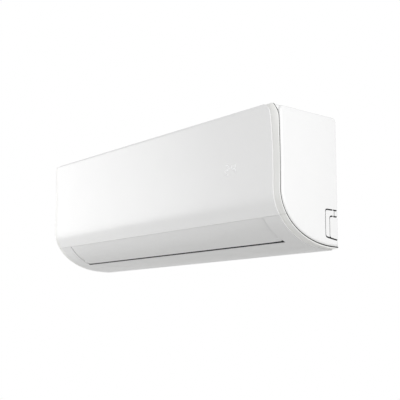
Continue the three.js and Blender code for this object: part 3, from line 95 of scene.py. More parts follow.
SKIN = Section(
    top=288, top_at_wall=288, corner=7, lip_back=150, depth=174.4,
    flare=9.6, flare_start=180, shoulder=116, toe=14, bottom=5.5,
)
SIDE_STEP = 4.5
SIDE = replace(
    SKIN, top=283, top_at_wall=285, corner=13, depth=SKIN.depth - SIDE_STEP,
    flare=3.2, bottom=SKIN.bottom + SIDE_STEP,
)
FULLNESS_SHARE = 2.1  # exponent of the belly's superellipse
FLARE_SHARE = 1.5  # exponent of the face's forward lean
CORNER_START = 1
FACE_START = 2
BELLY_START = 3
SOLE_START = 4
LAST_STATION = 5
PART_STEPS = (6, 8, 40, 44, 2)  # rows in each of the skin's five parts
STATION_REACH_SHARE = 0.004

PANEL_HALF = 411.0
PANEL_WALL = 3.0
PANEL_LOWER_EDGE = 63.5
PANEL_CORNER = 24.0
PANEL_OPEN_GAP = 0.5
PANEL_EDGE_ROUND = 2.2
COLUMNS = {"face": 24, "corner": 8, "band": 8}

HINGE = Vector((-150.0, 280.0))
HINGE_PIN = 2.5
HINGE_PIN_LENGTH = 9.4
HINGE_ARM_X = 372.0
HINGE_ARM_WALL = 4.0
HINGE_ARM_DROP = 12.0
HINGE_CLEARANCE = 0.3
SMALL_ROUND = 0.4  # edge of small mouldings

TRIM_WALL = 2.2
TRIM_STEP = 1.6
TRIM_FLANGE_FROM = 393.0
TRIM_FLANGE_STEP = 0.4
TRIM_EDGE_ROUND = 0.5
TRIM_RIM = 3.0  # how far the band's outer rim stays behind the end face
TRIM_CORNER_WIDE = 17.0
TRIM_CORNER_HIGH = 21.0
TRIM_TONGUE = 4.0
TRIM_TONGUE_WALL = 1.8
CORNER_ROWS = 10

SIDE_WALL = 2.5
SIDE_BACK_RADIUS = 11.0
SIDE_EDGE_ROUND = 6.0
SIDE_ROUND_STEPS = 7
SIDE_SEAM_STEP = 1.2  # how far the cover lies below the band, so that the joint reads as a line
SHOULDER_SEAM = 1.6
SHOULDER_LOW = 8.5
SHOULDER_WALL = 1.2
# Sinks, gaps and depth of the dark strips in the joints, which are painted shade, are among these
SHOULDER_SHADE_SINK = 0.8
SHOULDER_SHADE_GAP = 0.7
SHOULDER_END = END_FACE - SIDE_EDGE_ROUND
BAND_SHADE_SINK = 0.6
BAND_SHADE_DEPTH = 6.0
SLOT_SHADE_SINK = 0.5

LOUVER_HALF = 366.2
LOUVER_LOWER_EDGE = 20.4
LOUVER_WALL = 3.0
LOUVER_SLIT = 6.2
LOUVER_SINK = 0.3  # below the panel's and the frame's skin
LOUVER_END_SINK = 1.6  # how much deeper its ends lie
LOUVER_END_CURVE = 16.0
LOUVER_CORNER = 8.0
LOUVER_CORNER_ROWS = 6
LOUVER_EDGE_ROUND = 1.0
LOUVER_PIVOT = Vector((-104.0, 32.0))
LOUVER_BOSS = 8.5
LOUVER_BOSS_LENGTH = 8.0
LOUVER_PIN = 3.0
LOUVER_PIN_END = 374.0
LOUVER_RIB_PITCH = 70.0
LOUVER_RIBS_EACH_SIDE = 5
LOUVER_RIB_WALL = 1.2
LOUVER_RIB_HEIGHT = 1.6
# The dark strip in the slit below the louver, which is painted shade
SLIT_SHADE_FROM = 1.3
SLIT_SHADE_SINK = 0.9
SLIT_SHADE_WALL = 1.4

FRAME_WALL = 2.5
FRAME_EDGE_ROUND = 1.8
FRAME_CHEEK_X = 407.0
FRAME_CHEEK = 14.0
FRAME_BEHIND_PANEL = 0.8
FRAME_BAR_TOP = 92.0
FRAME_BAR_LOW = 66.0
FRAME_BAR_WALL = 3.5
FRAME_BAR_HALF = 392.4
RIB_X = (-394.5, -30.0, 334.5)
RIB_WALL = 3.0
RIB_BACK = 158.0
RIB_LOW = 84.0
RIB_HIGH = 255.0
RIB_TAIL = 6.0
RIB_TOE = 3.5
FILTER_FRONT = 166.0
SCREW_X = 250.0
SCREW_DEPTH = 58.0
SCREW_RECESS = 3.95
SCREW_CAP_GAP = 0.25
SCREW_CAP_WALL = 0.9
SCREW_SEAT = 3.2  # the head's seat above the underside
SCREW_SHANK = 1.6
SCREW_LENGTH = 10.0
CROSS_HEAD = 3.4
CROSS_HEAD_HEIGHT = 1.6
CROSS_HEAD_ROUND = 0.5
CROSS_HALF = 1.7
CROSS_WALL = 0.7
CROSS_DEPTH = 1.0

GRILLE_FRONT = 141.5
GRILLE_BACK = 9.0
GRILLE_TOP = 287.0
GRILLE_WALL = 2.5
GRILLE_BORDER = 7.0
GRILLE_COLUMNS = 6
GRILLE_POST = 9.0
GRILLE_SLAT_PITCH = 6.2
GRILLE_SLAT_WALL = 2.0
GRILLE_LEFT = -394.5
GRILLE_RIGHT = 372.0
GRILLE_SLAT_DROP = 5.0
GRILLE_SLAT_LEAN = 1.4
GRILLE_SLAT_STEPS = 6
BRACKET_REACH = 12.0
BRACKET_STEP = 3.0

NUMERAL_LEFT = 272.0
NUMERAL_LOW = 160.0
NUMERAL_WIDTH = 11.0
NUMERAL_HEIGHT = 21.0
NUMERAL_PITCH = 20.0
NUMERAL_STROKE = 2.6
NUMERAL_PROUD = 0.04
NUMERAL_TRIM_SHARE = 3 / 4  # of a stroke's width, left open where strokes meet
SHOWN_NUMERALS = (2, 4)

PAN_NOSE = 100.0
COIL_LEFT = -372.0
COIL_RIGHT = 318.0
COIL_MARGIN = 4.0
COIL_PLATE = 1.2
COIL_FIN_PITCH = 1.6
COIL_FIN_WALL = 0.35  # drawn thicker than foil, so that it shows
COIL_FIN_CORNER = 1.5
COIL_CORNER_STEPS = 2
COIL_BLOCKS = {  # foot, head and thickness
    "front_lower": (Vector((-145, 84)), Vector((-145, 178)), 18.0),
    "front_upper": (Vector((-143, 186)), Vector((-98, 260)), 18.0),
    "rear": (Vector((-33, 184)), Vector((-80, 254)), 16.0),
}
BEND_STARTS = {"front_lower": (24, 62), "front_upper": (10, 52), "rear": (58,)}
BEND_PITCH = 21.0
BEND_LEG = 3.0
BEND_TUBE = 3.5
BEND_STEPS = 14
PIPES = {
    "gas": {
        "rise": 38, "drop": 345, "depth": 24, "run": 54, "end": 150,
        "radius": 6.35, "nut": 11, "nut_length": 18,
    },
    "liquid": {
        "rise": 16, "drop": 333, "depth": 13, "run": 34, "end": 130,
        "radius": 3.175, "nut": 8, "nut_length": 15,
    },
}
PIPE_BEND_SHARE = 2  # radius of a bend over the pipe's radius
PIPE_BEND_STEPS = 8
NUT_CHAMFER_SHARE = 0.08
NUT_END_SHARE = 0.9
NUT_THREADS = 5
NUT_THREAD_DEPTH = 0.4

FAN_DEPTH = 82.0
FAN_HEIGHT = 125.0
FAN_RADIUS = 46.0
FAN_INNER = 34.0
FAN_LEFT = -366.0
FAN_RIGHT = 314.0
FAN_DISC = 3.0
FAN_RING = 1.6
FAN_BAYS = 8
FAN_SWEEP_DEG = 26.0
FAN_HUB = 9.0
FAN_HUB_LENGTH = 14.0
FAN_BORE = 4.3
BLADE_COUNT = 35
BLADE_WALL = 1.3
BLADE_STEPS = 7
BLADE_CURVE_SHARE = 1.5
BLADE_TIP_SHARE = 0.35

KNOCK_OUT_DEPTH = 43.0
KNOCK_OUT_LOW = 27.5
KNOCK_OUT_LOW_AT_WALL = 21.5
KNOCK_OUT_HIGH = 87.0
KNOCK_OUT_RADIUS = 6.5
KNOCK_OUT_SLOT = 1.6
KNOCK_OUT_LEVEL_SHARE = 1.9  # how much wider its level slots are
KNOCK_OUT_SPLIT = 15.0
KNOCK_OUT_TAB = 18.0
KNOCK_OUT_TAB_WIDE = 1.8
INNER_KNOCK_OUT_DEPTH = 30.0
INNER_KNOCK_OUT_HIGH = 74.0


# Section of the skin


def face_depth(section, height):
    lean = max(0.0, (height - section.flare_start) / (section.top - section.flare_start))
    return section.depth + section.flare * lean ** FLARE_SHARE


def top_height(section, y):
    return section.top_at_wall + (section.top - section.top_at_wall) * (-y / section.depth)


def skin_point(section, station):
    """A point of the skin, as depth and height.

    Stations run from the lip at 0 over the top corner, the face and the belly to the sole. Each of
    these five parts is one station long.
    """
    corner_height = section.top - section.corner
    corner_y = section.corner - face_depth(section, corner_height)
    if station < CORNER_START:
        back = Vector((-section.lip_back, top_height(section, -section.lip_back)))
        return back.lerp(Vector((corner_y, section.top)), station)
    if station < FACE_START:
        angle = (station - CORNER_START) * math.pi / 2
        forward = section.corner * math.sin(angle)
        return Vector((corner_y - forward, corner_height + section.corner * math.cos(angle)))
    if station < BELLY_START:
        height = corner_height + (section.shoulder - corner_height) * (station - FACE_START)
        return Vector((-face_depth(section, height), height))
    if station < SOLE_START:
        angle = (station - BELLY_START) * math.pi / 2
        power = 2 / FULLNESS_SHARE
        forward = (section.depth - section.toe) * math.cos(angle) ** power
        drop = (section.shoulder - section.bottom) * math.sin(angle) ** power
        return Vector((-section.toe - forward, section.shoulder - drop))
    return Vector((-section.toe * (LAST_STATION - station), section.bottom))


def inset_point(section, station, inset):
    before = skin_point(section, max(0.0, station - STATION_REACH_SHARE))
    after = skin_point(section, min(LAST_STATION, station + STATION_REACH_SHARE))
    along = (after - before).normalized()
    return skin_point(section, station) + Vector((-along.y, along.x)) * inset


def face_station(section, height):
    corner_height = section.top - section.corner
    return FACE_START + (corner_height - height) / (corner_height - section.shoulder)


def belly_station(section, height):
    drop = (section.shoulder - height) / (section.shoulder - section.bottom)
    return BELLY_START + math.asin(drop ** (FULLNESS_SHARE / 2)) / (math.pi / 2)


def station_after(section, station, distance):
    step = skin_point(section, station + STATION_REACH_SHARE) - skin_point(section, station)
    return station + distance * STATION_REACH_SHARE / step.length


def stations_between(start, end):
    inner = [
        part + step / count
        for part, count in enumerate(PART_STEPS)
        for step in range(count)
        if start < part + step / count < end
    ]
    return [start, *inner, end]


PANEL_END = belly_station(SKIN, PANEL_LOWER_EDGE)
LOUVER_START = station_after(SKIN, PANEL_END, PANEL_OPEN_GAP)
LOUVER_END = belly_station(SKIN, LOUVER_LOWER_EDGE)
LIP_START = station_after(SKIN, LOUVER_END, LOUVER_SLIT)
SOLE_END = station_after(SKIN, SOLE_START, SKIN.toe - FRAME_WALL / 2)


def strip(section, start, end, inset, thickness):
    """The closed outline of a wall that follows the skin."""
    stations = stations_between(start, end)
    outer = [inset_point(section, station, inset) for station in stations]
    inner = [inset_point(section, station, inset + thickness) for station in stations]
    return outer + inner[::-1]


# Meshes

DOUBLE_REACH = 1e-6  # in metres: corners nearer than this become one


def placed(x, spot):
    """Millimetres along the unit and in its section, as metres in the row frame."""
    return Vector((x, spot.x, spot.y - ORIGIN_HEIGHT)) / METRE


def new_object(name, mesh):
    thing = bpy.data.objects.new(name, mesh)
    bpy.context.scene.collection.objects.link(thing)
    return thing


def closed_mesh(name, corners, faces):
    """A mesh with its doubles merged and its faces turned outwards."""
    mesh = bpy.data.meshes.new(name)
    mesh.from_pydata(corners, [], faces)
    work = bmesh.new()
    work.from_mesh(mesh)
    bmesh.ops.remove_doubles(work, verts=work.verts, dist=DOUBLE_REACH)
    bmesh.ops.recalc_face_normals(work, faces=work.faces)
    work.to_mesh(mesh)
    work.free()
    mesh.shade_smooth()
    return new_object(name, mesh)


def loft(name, rings):
    """A body through closed rings of equal count, closed by a flat face at each end."""
    count = len(rings[0])
    corners = [corner for ring in rings for corner in ring]
    faces = [list(range(count)), list(range(len(corners) - count, len(corners)))]
    for ring in range(len(rings) - 1):
        for corner in range(count):
            after = (corner + 1) % count
            low, high = ring * count, (ring + 1) * count
            faces.append([low + corner, low + after, high + after, high + corner])
    return closed_mesh(name, corners, faces)


def prism(name, outline, from_x, to_x):
    """An outline in the unit's section, drawn out along the unit."""
    return loft(name, [[placed(x, spot) for spot in outline] for x in (from_x, to_x)])


def circle(y, z, radius, count=ROUND_STEPS):
    turns = (step / count * math.tau for step in range(count))
    return [Vector((y + radius * math.cos(turn), z + radius * math.sin(turn))) for turn in turns]


def rod(name, radius, y, z, from_x, to_x, count=ROUND_STEPS):
    """A round bar along the unit."""
    return prism(name, circle(y, z, radius, count), from_x, to_x)


def block(name, xs, ys, zs):
    """A box between two corners, given as a pair of values along each axis."""
    (front, back), (low, high) = ys, zs
    outline = [Vector(spot) for spot in ((front, low), (back, low), (back, high), (front, high))]
    return prism(name, outline, *xs)


def shell(name, outer, inner):
    """A wall between two grids of points, closed along its rims."""
    rows, columns = len(outer), len(outer[0])
    corners = [corner for grid in (outer, inner) for row in grid for corner in row]
    faces = []

    def index(side, row, column):
        return side * rows * columns + row * columns + column

    for side in (0, 1):
        for row in range(rows - 1):
            for column in range(columns - 1):
                faces.append([
                    index(side, row, column), index(side, row, column + 1),
                    index(side, row + 1, column + 1), index(side, row + 1, column),
                ])
    rim = [(0, column) for column in range(columns)]
    rim += [(row, columns - 1) for row in range(1, rows)]
    rim += [(rows - 1, column) for column in range(columns - 2, -1, -1)]
    rim += [(row, 0) for row in range(rows - 2, 0, -1)]
    for here, after in zip(rim, rim[1:] + rim[:1]):
        faces.append([index(0, *here), index(0, *after), index(1, *after), index(1, *here)])
    return closed_mesh(name, corners, faces)


def apply_modifiers(thing):
    """Turns the modified shape into the object's own mesh."""
    shape = thing.evaluated_get(bpy.context.evaluated_depsgraph_get())
    mesh = bpy.data.meshes.new_from_object(shape)
    thing.modifiers.clear()
    thing.data = mesh
    return thing


def boolean(thing, cutter, operation):
    """Cuts the cutter from the thing, or keeps only what both share, and removes the cutter."""
    modifier = thing.modifiers.new(operation.lower(), "BOOLEAN")
    modifier.operation = operation
    modifier.solver = "EXACT"
    modifier.object = cutter
    apply_modifiers(thing)
    bpy.data.objects.remove(cutter)
    return thing


def joined(name, things):
    """Several bodies of one moulding, kept as one piece."""
    work = bmesh.new()
    for thing in things:
        work.from_mesh(thing.data)
        bpy.data.objects.remove(thing)
    mesh = bpy.data.meshes.new(name)
    work.to_mesh(mesh)
    work.free()
    mesh.shade_smooth()
    return new_object(name, mesh)


def mirrored(name, thing, sign):
    """The piece as drawn for the motor's end, or its mirror image for the other end."""
    thing.name = name
    if sign > 0:
        return thing
    mesh = thing.data
    mesh.transform(Matrix.Scale(-1, 4, Vector((1, 0, 0))))
    mesh.flip_normals()
    return thing


def round_edges(thing, width, segments=EDGE_SEGMENTS):
    """Breaks every sharp edge with a small radius, as a mould does."""
    bevel = thing.modifiers.new("edges", "BEVEL")
    bevel.width = width / METRE
    bevel.segments = segments
    bevel.limit_method = "ANGLE"
    bevel.angle_limit = math.radians(EDGE_ANGLE_DEG)
    bevel.harden_normals = True
    return thing


# Materials

ZINC_CRYSTAL = 7
NET_MESH = 2
NET_THREAD_HEIGHT = 0.3
BOARD_TRACK = 9
# The least and the most that a pattern gives, over the middle value.
PLASTIC_SPREAD_SHARES = (0.85, 1.15)
METAL_SPREAD_SHARES = (0.8, 1.25)
GLOW_SPREAD_SHARES = (0.9, 1.1)


def srgb(hex_color):
    """A colour as painters write it, turned to the linear values that the shader wants."""
    channels = [int(hex_color[place:place + 2], 16) / 255 for place in (1, 3, 5)]
    linear = [c / 12.92 if c <= 0.04045 else ((c + 0.055) / 1.055) ** 2.4 for c in channels]
    return (*linear, 1.0)


def per_metre(size_mm):
    """Scale of a texture whose features are this far apart."""
    return METRE / size_mm


def add_node(tree, kind, settings=None, links=None):
    """Adds a node; settings name its options or its sockets, links name sockets and their sources."""
    node = tree.nodes.new(kind)
    for name, value in (settings or {}).items():
        if isinstance(name, str) and hasattr(node, name):
            setattr(node, name, value)
        else:
            node.inputs[name].default_value = value
    for name, source in (links or {}).items():
        tree.links.new(source, node.inputs[name])
    return node


def new_material(name):
    material = bpy.data.materials.new(name)
    material.use_nodes = True
    material.node_tree.nodes.clear()
    return material, material.node_tree


def patterned_material(name):
    """A bare material with its tree, and the place on the object by which its pattern goes."""
    material, tree = new_material(name)
    return material, tree, add_node(tree, "ShaderNodeTexCoord").outputs["Object"]


def finished(material, shader):
    """The material, once its shader is led to the output."""
    add_node(material.node_tree, "ShaderNodeOutputMaterial", links={"Surface": shader.outputs[0]})
    return material


def tinted(tree, color, other, factor):
    """Two close tones of one colour, mixed by a pattern."""
    mix = add_node(
        tree, "ShaderNodeMix", {"data_type": "RGBA", 6: srgb(color), 7: srgb(other)}, {0: factor},
    )
    return mix.outputs[2]


def between(tree, factor, low, high):
    """A pattern's 0 to 1 stretched to a range."""
    node = add_node(tree, "ShaderNodeMapRange", {"To Min": low, "To Max": high}, {"Value": factor})
    return node.outputs["Result"]


def spread(tree, factor, middle, shares):
    """A value that a pattern moves a little about its middle."""
    low_share, high_share = shares
    return between(tree, factor, middle * low_share, middle * high_share)


def moulded_plastic(name, color, shade, roughness, waviness_mm, grain_mm, grain_height_mm, coat=0.0):
    """Injection-moulded plastic: slow waves of tone, and the tool's fine texture as bump and gloss."""
    material, tree, spot = patterned_material(name)
    waves = add_node(
        tree, "ShaderNodeTexNoise", {"Scale": per_metre(waviness_mm), "Detail": 2.0}, {"Vector": spot},
    ).outputs[0]
    grain = add_node(
        tree, "ShaderNodeTexNoise", {"Scale": per_metre(grain_mm), "Detail": 3.0, "Roughness": 0.6},
        {"Vector": spot},
    ).outputs[0]
    bump = add_node(
        tree, "ShaderNodeBump", {"Strength": 1.0, "Distance": grain_height_mm / METRE}, {"Height": grain},
    )
    shader = add_node(
        tree, "ShaderNodeBsdfPrincipled",
        {"IOR": 1.52, "Coat Weight": coat, "Coat Roughness": 0.22},
        {
            "Base Color": tinted(tree, color, shade, waves),
            "Roughness": spread(tree, grain, roughness, PLASTIC_SPREAD_SHARES),
            "Normal": bump.outputs[0],
        },
    )
    return finished(material, shader)


def bare_metal(name, color, shade, roughness, mottle_mm, grain_mm, grain_height_mm):
    """Bare metal: mottled tone, with the grain of its making as bump and uneven gloss."""
    material, tree, spot = patterned_material(name)
    mottle = add_node(
        tree, "ShaderNodeTexNoise", {"Scale": per_metre(mottle_mm), "Detail": 4.0}, {"Vector": spot},
    ).outputs[0]
    grain = add_node(
        tree, "ShaderNodeTexNoise", {"Scale": per_metre(grain_mm), "Detail": 4.0}, {"Vector": spot},
    ).outputs[0]
    bump = add_node(
        tree, "ShaderNodeBump", {"Strength": 1.0, "Distance": grain_height_mm / METRE}, {"Height": grain},
    )
    shader = add_node(
        tree, "ShaderNodeBsdfPrincipled", {"Metallic": 1.0},
        {
            "Base Color": tinted(tree, color, shade, mottle),
            "Roughness": spread(tree, mottle, roughness, METAL_SPREAD_SHARES),
            "Normal": bump.outputs[0],
        },
    )
    return finished(material, shader)


def galvanised_steel(name):
    """Hot-dip zinc on sheet steel: flat crystals a few millimetres wide, each with its own sheen."""
    material, tree, spot = patterned_material(name)
    crystals = add_node(
        tree, "ShaderNodeTexVoronoi", {"Scale": per_metre(ZINC_CRYSTAL), "Randomness": 1.0},
        {"Vector": spot},
    )
    tone = add_node(tree, "ShaderNodeSeparateColor", links={0: crystals.outputs["Color"]}).outputs[0]
    shader = add_node(
        tree, "ShaderNodeBsdfPrincipled", {"Metallic": 1.0},
        {
            "Base Color": tinted(tree, "#9a9ea1", "#b6babd", tone),
            "Roughness": between(tree, tone, 0.35, 0.55),
        },
    )
    return finished(material, shader)


def woven_net(name):
    """Polypropylene net: square weave of round threads, drawn coarse so that it shows; the dark between the
    threads is painted shade for the holes.
    """
    material, tree, spot = patterned_material(name)
    axes = add_node(tree, "ShaderNodeSeparateXYZ", links={0: spot})
    threads = []
    for axis in ("X", "Z"):
        turns = add_node(
            tree, "ShaderNodeMath", {"operation": "MULTIPLY", 1: per_metre(NET_MESH) * 2 * math.pi},
            {0: axes.outputs[axis]},
        )
        wave = add_node(tree, "ShaderNodeMath", {"operation": "SINE"}, {0: turns.outputs[0]})
        threads.append(wave.outputs[0])
    weave = add_node(
        tree, "ShaderNodeMath", {"operation": "MAXIMUM"}, {0: threads[0], 1: threads[1]},
    ).outputs[0]
    factor = add_node(
        tree, "ShaderNodeMapRange", {"From Min": 0.2, "From Max": 0.9}, {"Value": weave},
    ).outputs["Result"]
    bump = add_node(
        tree, "ShaderNodeBump", {"Strength": 1.0, "Distance": NET_THREAD_HEIGHT / METRE},
        {"Height": factor},
    )
    # Light threads, and dark between them: painted shade where the holes look into the unit
    shader = add_node(
        tree, "ShaderNodeBsdfPrincipled", {"Roughness": 0.6, "IOR": 1.49},
        {"Base Color": tinted(tree, "#33383c", "#b9c0c4", factor), "Normal": bump.outputs[0]},
    )
    return finished(material, shader)


def circuit_board(name):
    """Glass-fibre board under green lacquer: lighter along the copper tracks beneath."""
    material, tree, spot = patterned_material(name)
    tracks = add_node(
        tree, "ShaderNodeTexBrick",
        {
            "Scale": per_metre(BOARD_TRACK), "Color1": srgb("#2c6a45"), "Color2": srgb("#25603c"),
            "Mortar": srgb("#3d8257"), "Mortar Size": 0.06,
        },
        {"Vector": spot},
    )
    shader = add_node(
        tree, "ShaderNodeBsdfPrincipled", {"Roughness": 0.35, "IOR": 1.5},
        {"Base Color": tracks.outputs["Color"]},
    )
    return finished(material, shader)


def lit_plastic(name, color, strength, grain_mm):
    """Light that shines through the panel's plastic: milky, a little uneven, and faint."""
    material, tree, spot = patterned_material(name)
    grain = add_node(
        tree, "ShaderNodeTexNoise", {"Scale": per_metre(grain_mm), "Detail": 2.0}, {"Vector": spot},
    ).outputs[0]
    shader = add_node(
        tree, "ShaderNodeBsdfPrincipled",
        {"Base Color": srgb(color), "Emission Color": srgb(color), "Roughness": 0.32},
        {"Emission Strength": spread(tree, grain, strength, GLOW_SPREAD_SHARES)},
    )
    return finished(material, shader)


# Glossy ABS of the panel: soft, broad reflections under a clear sheen, and barely any grain.
gloss_abs = moulded_plastic(
    "polished_white_abs", "#f2f2f2", "#f0f0f0", roughness=0.32, coat=0.3,
    waviness_mm=90, grain_mm=1.2, grain_height_mm=0.004,
)
# The end covers' ABS: a touch smoother but without the sheen, with a finer and deeper grain.
cover_abs = moulded_plastic(
    "cover_white_abs", "#f2f2f2", "#f0f0f0", roughness=0.26,
    waviness_mm=70, grain_mm=0.9, grain_height_mm=0.006,
)
# Frame and underside: satin ABS that spreads the light a little.
satin_abs = moulded_plastic(
    "satin_white_abs", "#e9e9e9", "#e6e6e6", roughness=0.36,
    waviness_mm=60, grain_mm=0.8, grain_height_mm=0.01,
)
# The louver's plastic is a shade greyer, and soft in its gloss.
louver_abs = moulded_plastic(
    "louver_white_abs", "#e7e7e7", "#e4e4e4", roughness=0.34,
    waviness_mm=60, grain_mm=0.8, grain_height_mm=0.008,
)
# ABS of the end bands: almost white with a faint warm cast, and without the panel's sheen.
band_abs = moulded_plastic(
    "band_grey_abs", "#f3f3f1", "#efefed", roughness=0.3,
    waviness_mm=50, grain_mm=0.8, grain_height_mm=0.01,
)
# Polystyrene inside the unit: plain and matt, off-white.
inner_plastic = moulded_plastic(
    "inner_white_polystyrene", "#dfdfdb", "#d8d8d3", roughness=0.5,
    waviness_mm=40, grain_mm=0.7, grain_height_mm=0.02,
)
# Dark grey polyamide of the fan motor, the bush, the terminals and the display: plain and matt.
dark_plastic = moulded_plastic(
    "dark_polyamide", "#3a3c3e", "#333537", roughness=0.5,
    waviness_mm=30, grain_mm=0.6, grain_height_mm=0.03,
)
# Glass-filled plastic of the fan: charcoal, faintly mottled.
fan_plastic = moulded_plastic(
    "fan_glass_filled_plastic", "#4a4d50", "#414447", roughness=0.5,
    waviness_mm=25, grain_mm=0.8, grain_height_mm=0.03,
)
# Black rubber of the bearing and the drain spout, matt and faintly blotched; the dark strips in the joints
# wear it as painted shade.
rubber = moulded_plastic(
    "black_rubber", "#232425", "#2b2c2d", roughness=0.8,
    waviness_mm=12, grain_mm=0.6, grain_height_mm=0.04,
)
# Soft aluminium foil of the fins: bright, with a soft, uneven gloss.
fin_aluminium = bare_metal(
    "fin_aluminium", "#c9cdd0", "#bcc1c4", roughness=0.38,
    mottle_mm=20, grain_mm=1.5, grain_height_mm=0.01,
)
# Drawn copper tube: warm and smooth, darker in patches.
copper = bare_metal(
    "drawn_copper", "#c07a4a", "#a8653a", roughness=0.3,
    mottle_mm=14, grain_mm=2, grain_height_mm=0.008,
)
# Turned brass of the flare nuts: yellow and smooth.
brass = bare_metal(
    "turned_brass", "#cfa85a", "#bf9648", roughness=0.28,
    mottle_mm=10, grain_mm=1, grain_height_mm=0.01,
)
# Zinc-plated steel of the screws, the shafts and the louver motor: bright and smooth.
steel = bare_metal(
    "bright_steel", "#bfc2c5", "#b0b3b6", roughness=0.3,
    mottle_mm=8, grain_mm=1, grain_height_mm=0.01,
)
zinc_steel = galvanised_steel("galvanised_sheet")
net = woven_net("polypropylene_net")
board_lacquer = circuit_board("green_board_lacquer")

# The display's numerals: barely brighter than the panel that they shine through.
lit_numerals = lit_plastic("lit_numerals", "#f6f7f8", strength=0.14, grain_mm=6)

# What each slot of the frame is made of.
FINISHES = {
    "glossWhite": gloss_abs, "satinWhite": satin_abs, "louverWhite": louver_abs,
    "bandGrey": band_abs, "innerWhite": inner_plastic, "darkPlastic": dark_plastic,
    "fanGrey": fan_plastic, "aluminium": fin_aluminium, "copper": copper, "brass": brass,
    "steel": steel, "zincSteel": zinc_steel, "rubber": rubber, "boardGreen": board_lacquer,
    "meshGrey": net,
}
SLOTS = {entry["node"]: entry["material_slot"] for entry in frame["record"]["subparts"]}


def dress_nodes():
    """Gives every node of the frame the finish of its slot."""
    for name, node in frame["nodes"].items():
        node.data.materials.clear()
        node.data.materials.append(FINISHES[SLOTS[name]])


def dress(thing, material, body, *nodes, slot=None):
    """Gives a finished piece its material and its body, and hides what it stands for."""
    thing.data.materials.clear()
    thing.data.materials.append(material)
    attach(thing, body)
    if nodes:
        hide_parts(*nodes)
    slot or next(name for name, used in FINISHES.items() if used == material)
    return thing


dress_nodes()


# Sheets: the panel and the louver are stretches of the skin with two rounded corners


def corner_reach(distance, half, radius):
    """Half of a sheet's width at a distance from the edge whose corners are rounded."""
    if distance >= radius:
        return half
    return half - radius + math.sqrt(radius ** 2 - (radius - distance) ** 2)


def sheet_columns(straight, reach):
    middle = [straight * (2 * step / COLUMNS["face"] - 1) for step in range(COLUMNS["face"] + 1)]
    corner = [
        straight + (reach - straight) * step / COLUMNS["corner"] for step in range(1, COLUMNS["corner"] + 1)
    ]
    return [-x for x in reversed(corner)] + middle + corner


def skin_sheet(name, stations, rounded_at, half, radius, outer_inset, inner_inset):
    """A wall behind the skin, rounded at the station of one edge; its outer inset goes by x."""
    edge = skin_point(SKIN, rounded_at)
    outer, inner = [], []
    for station in stations:
        distance = (skin_point(SKIN, station) - edge).length
        columns = sheet_columns(half - radius, corner_reach(distance, half, radius))
        outer.append([placed(x, inset_point(SKIN, station, outer_inset(x))) for x in columns])
        behind = inset_point(SKIN, station, inner_inset)
        inner.append([placed(x, behind) for x in columns])
    return shell(name, outer, inner)


# Front panel, with the two arms that hang it on the frame


def panel_face():
    """The corners are rounded in the front view, so their rows go by height."""
    outer, inner = [], []
    straight = PANEL_HALF - PANEL_CORNER
    for station in stations_between(0, PANEL_END):
        spot = skin_point(SKIN, station)
        reach = corner_reach(SKIN.top - spot.y, PANEL_HALF, PANEL_CORNER)
        outer.append([placed(x, spot) for x in sheet_columns(straight, reach)])
        behind = inset_point(SKIN, station, PANEL_WALL)
        inner.append([placed(x, behind) for x in sheet_columns(straight, reach)])
    return round_edges(shell("panel_face", outer, inner), PANEL_EDGE_ROUND, segments=4)


def panel_arm():
    eye = SKIN.top - PANEL_WALL - HINGE.y
    root_low = HINGE.y - HINGE_ARM_DROP
    root = PANEL_WALL / 2 - face_depth(SKIN, root_low)
    root_top = SKIN.top - PANEL_WALL / 2
    web = [
        Vector((root, root_low)), Vector((HINGE.x, HINGE.y - eye + GAP)),
        Vector((HINGE.x, root_top)), Vector((root, root_top)),
    ]
    end = HINGE_ARM_X + HINGE_ARM_WALL
    parts = [
        prism("web", web, HINGE_ARM_X, end),
        rod("eye", eye, HINGE.x, HINGE.y, HINGE_ARM_X, end),
        rod("pin", HINGE_PIN, HINGE.x, HINGE.y, HINGE_ARM_X, HINGE_ARM_X + HINGE_PIN_LENGTH),
    ]
    return [apply_modifiers(round_edges(part, SMALL_ROUND)) for part in parts]


def front_panel():
    arms = [mirrored("arm", part, sign) for sign in (-1, 1) for part in panel_arm()]
    return joined("panel_moulding", [apply_modifiers(panel_face()), *arms])


dress(front_panel(), gloss_abs, "panel", "front_panel")


# End bands: they fall from the panel's edge to the end cover


def edge_with_corner(height, edge, wide, high):
    """The x of an upright edge at a height: its upper corner is rounded."""
    rise = max(0.0, (height - SKIN.top + high) / high)
    return edge - wide * (1 - math.sqrt(max(0.0, 1 - rise ** 2)))


def panel_side(height):
    return edge_with_corner(height, PANEL_HALF, PANEL_CORNER, PANEL_CORNER)


def band_side(height):
    return edge_with_corner(height, END_FACE - TRIM_RIM, TRIM_CORNER_WIDE, TRIM_CORNER_HIGH)


def band_spot(station, x, sink):
    """A point of the surface that falls from the panel's skin to above the end cover's."""
    share = max(0.0, (x - PANEL_HALF) / (END_FACE - TRIM_RIM - PANEL_HALF)) ** 2
    near = inset_point(SKIN, station, TRIM_STEP + sink)
    return near.lerp(inset_point(SIDE, station, sink - SEAM - TRIM_WALL), share)


def cross_sheet(name, stations, edges, spot, wall):
    """A sheet that runs across the band, between two edges that go by height."""
    outer, inner = [], []
    for station in stations:
        height = skin_point(SKIN, station).y
        from_x, to_x = (edge(height) for edge in edges)
        xs = [from_x + (to_x - from_x) * step / COLUMNS["band"] for step in range(COLUMNS["band"] + 1)]
        outer.append([placed(x, spot(station, x, 0)) for x in xs])
        inner.append([placed(x, spot(station, x, wall)) for x in xs])
    return shell(name, outer, inner)


def band_stations(start, end):
    """Stations for the band, with more of them round its upper corner."""
    fine = [
        face_station(SKIN, SKIN.top - TRIM_CORNER_HIGH * step / CORNER_ROWS)
        for step in range(1, CORNER_ROWS + 1)
    ]
    extra = [station for station in fine if start < station < end and station > FACE_START]
    return sorted({*stations_between(start, end), *extra})


def flange_spot(station, x, sink):
    return inset_point(SKIN, station, PANEL_WALL + TRIM_FLANGE_STEP + sink)


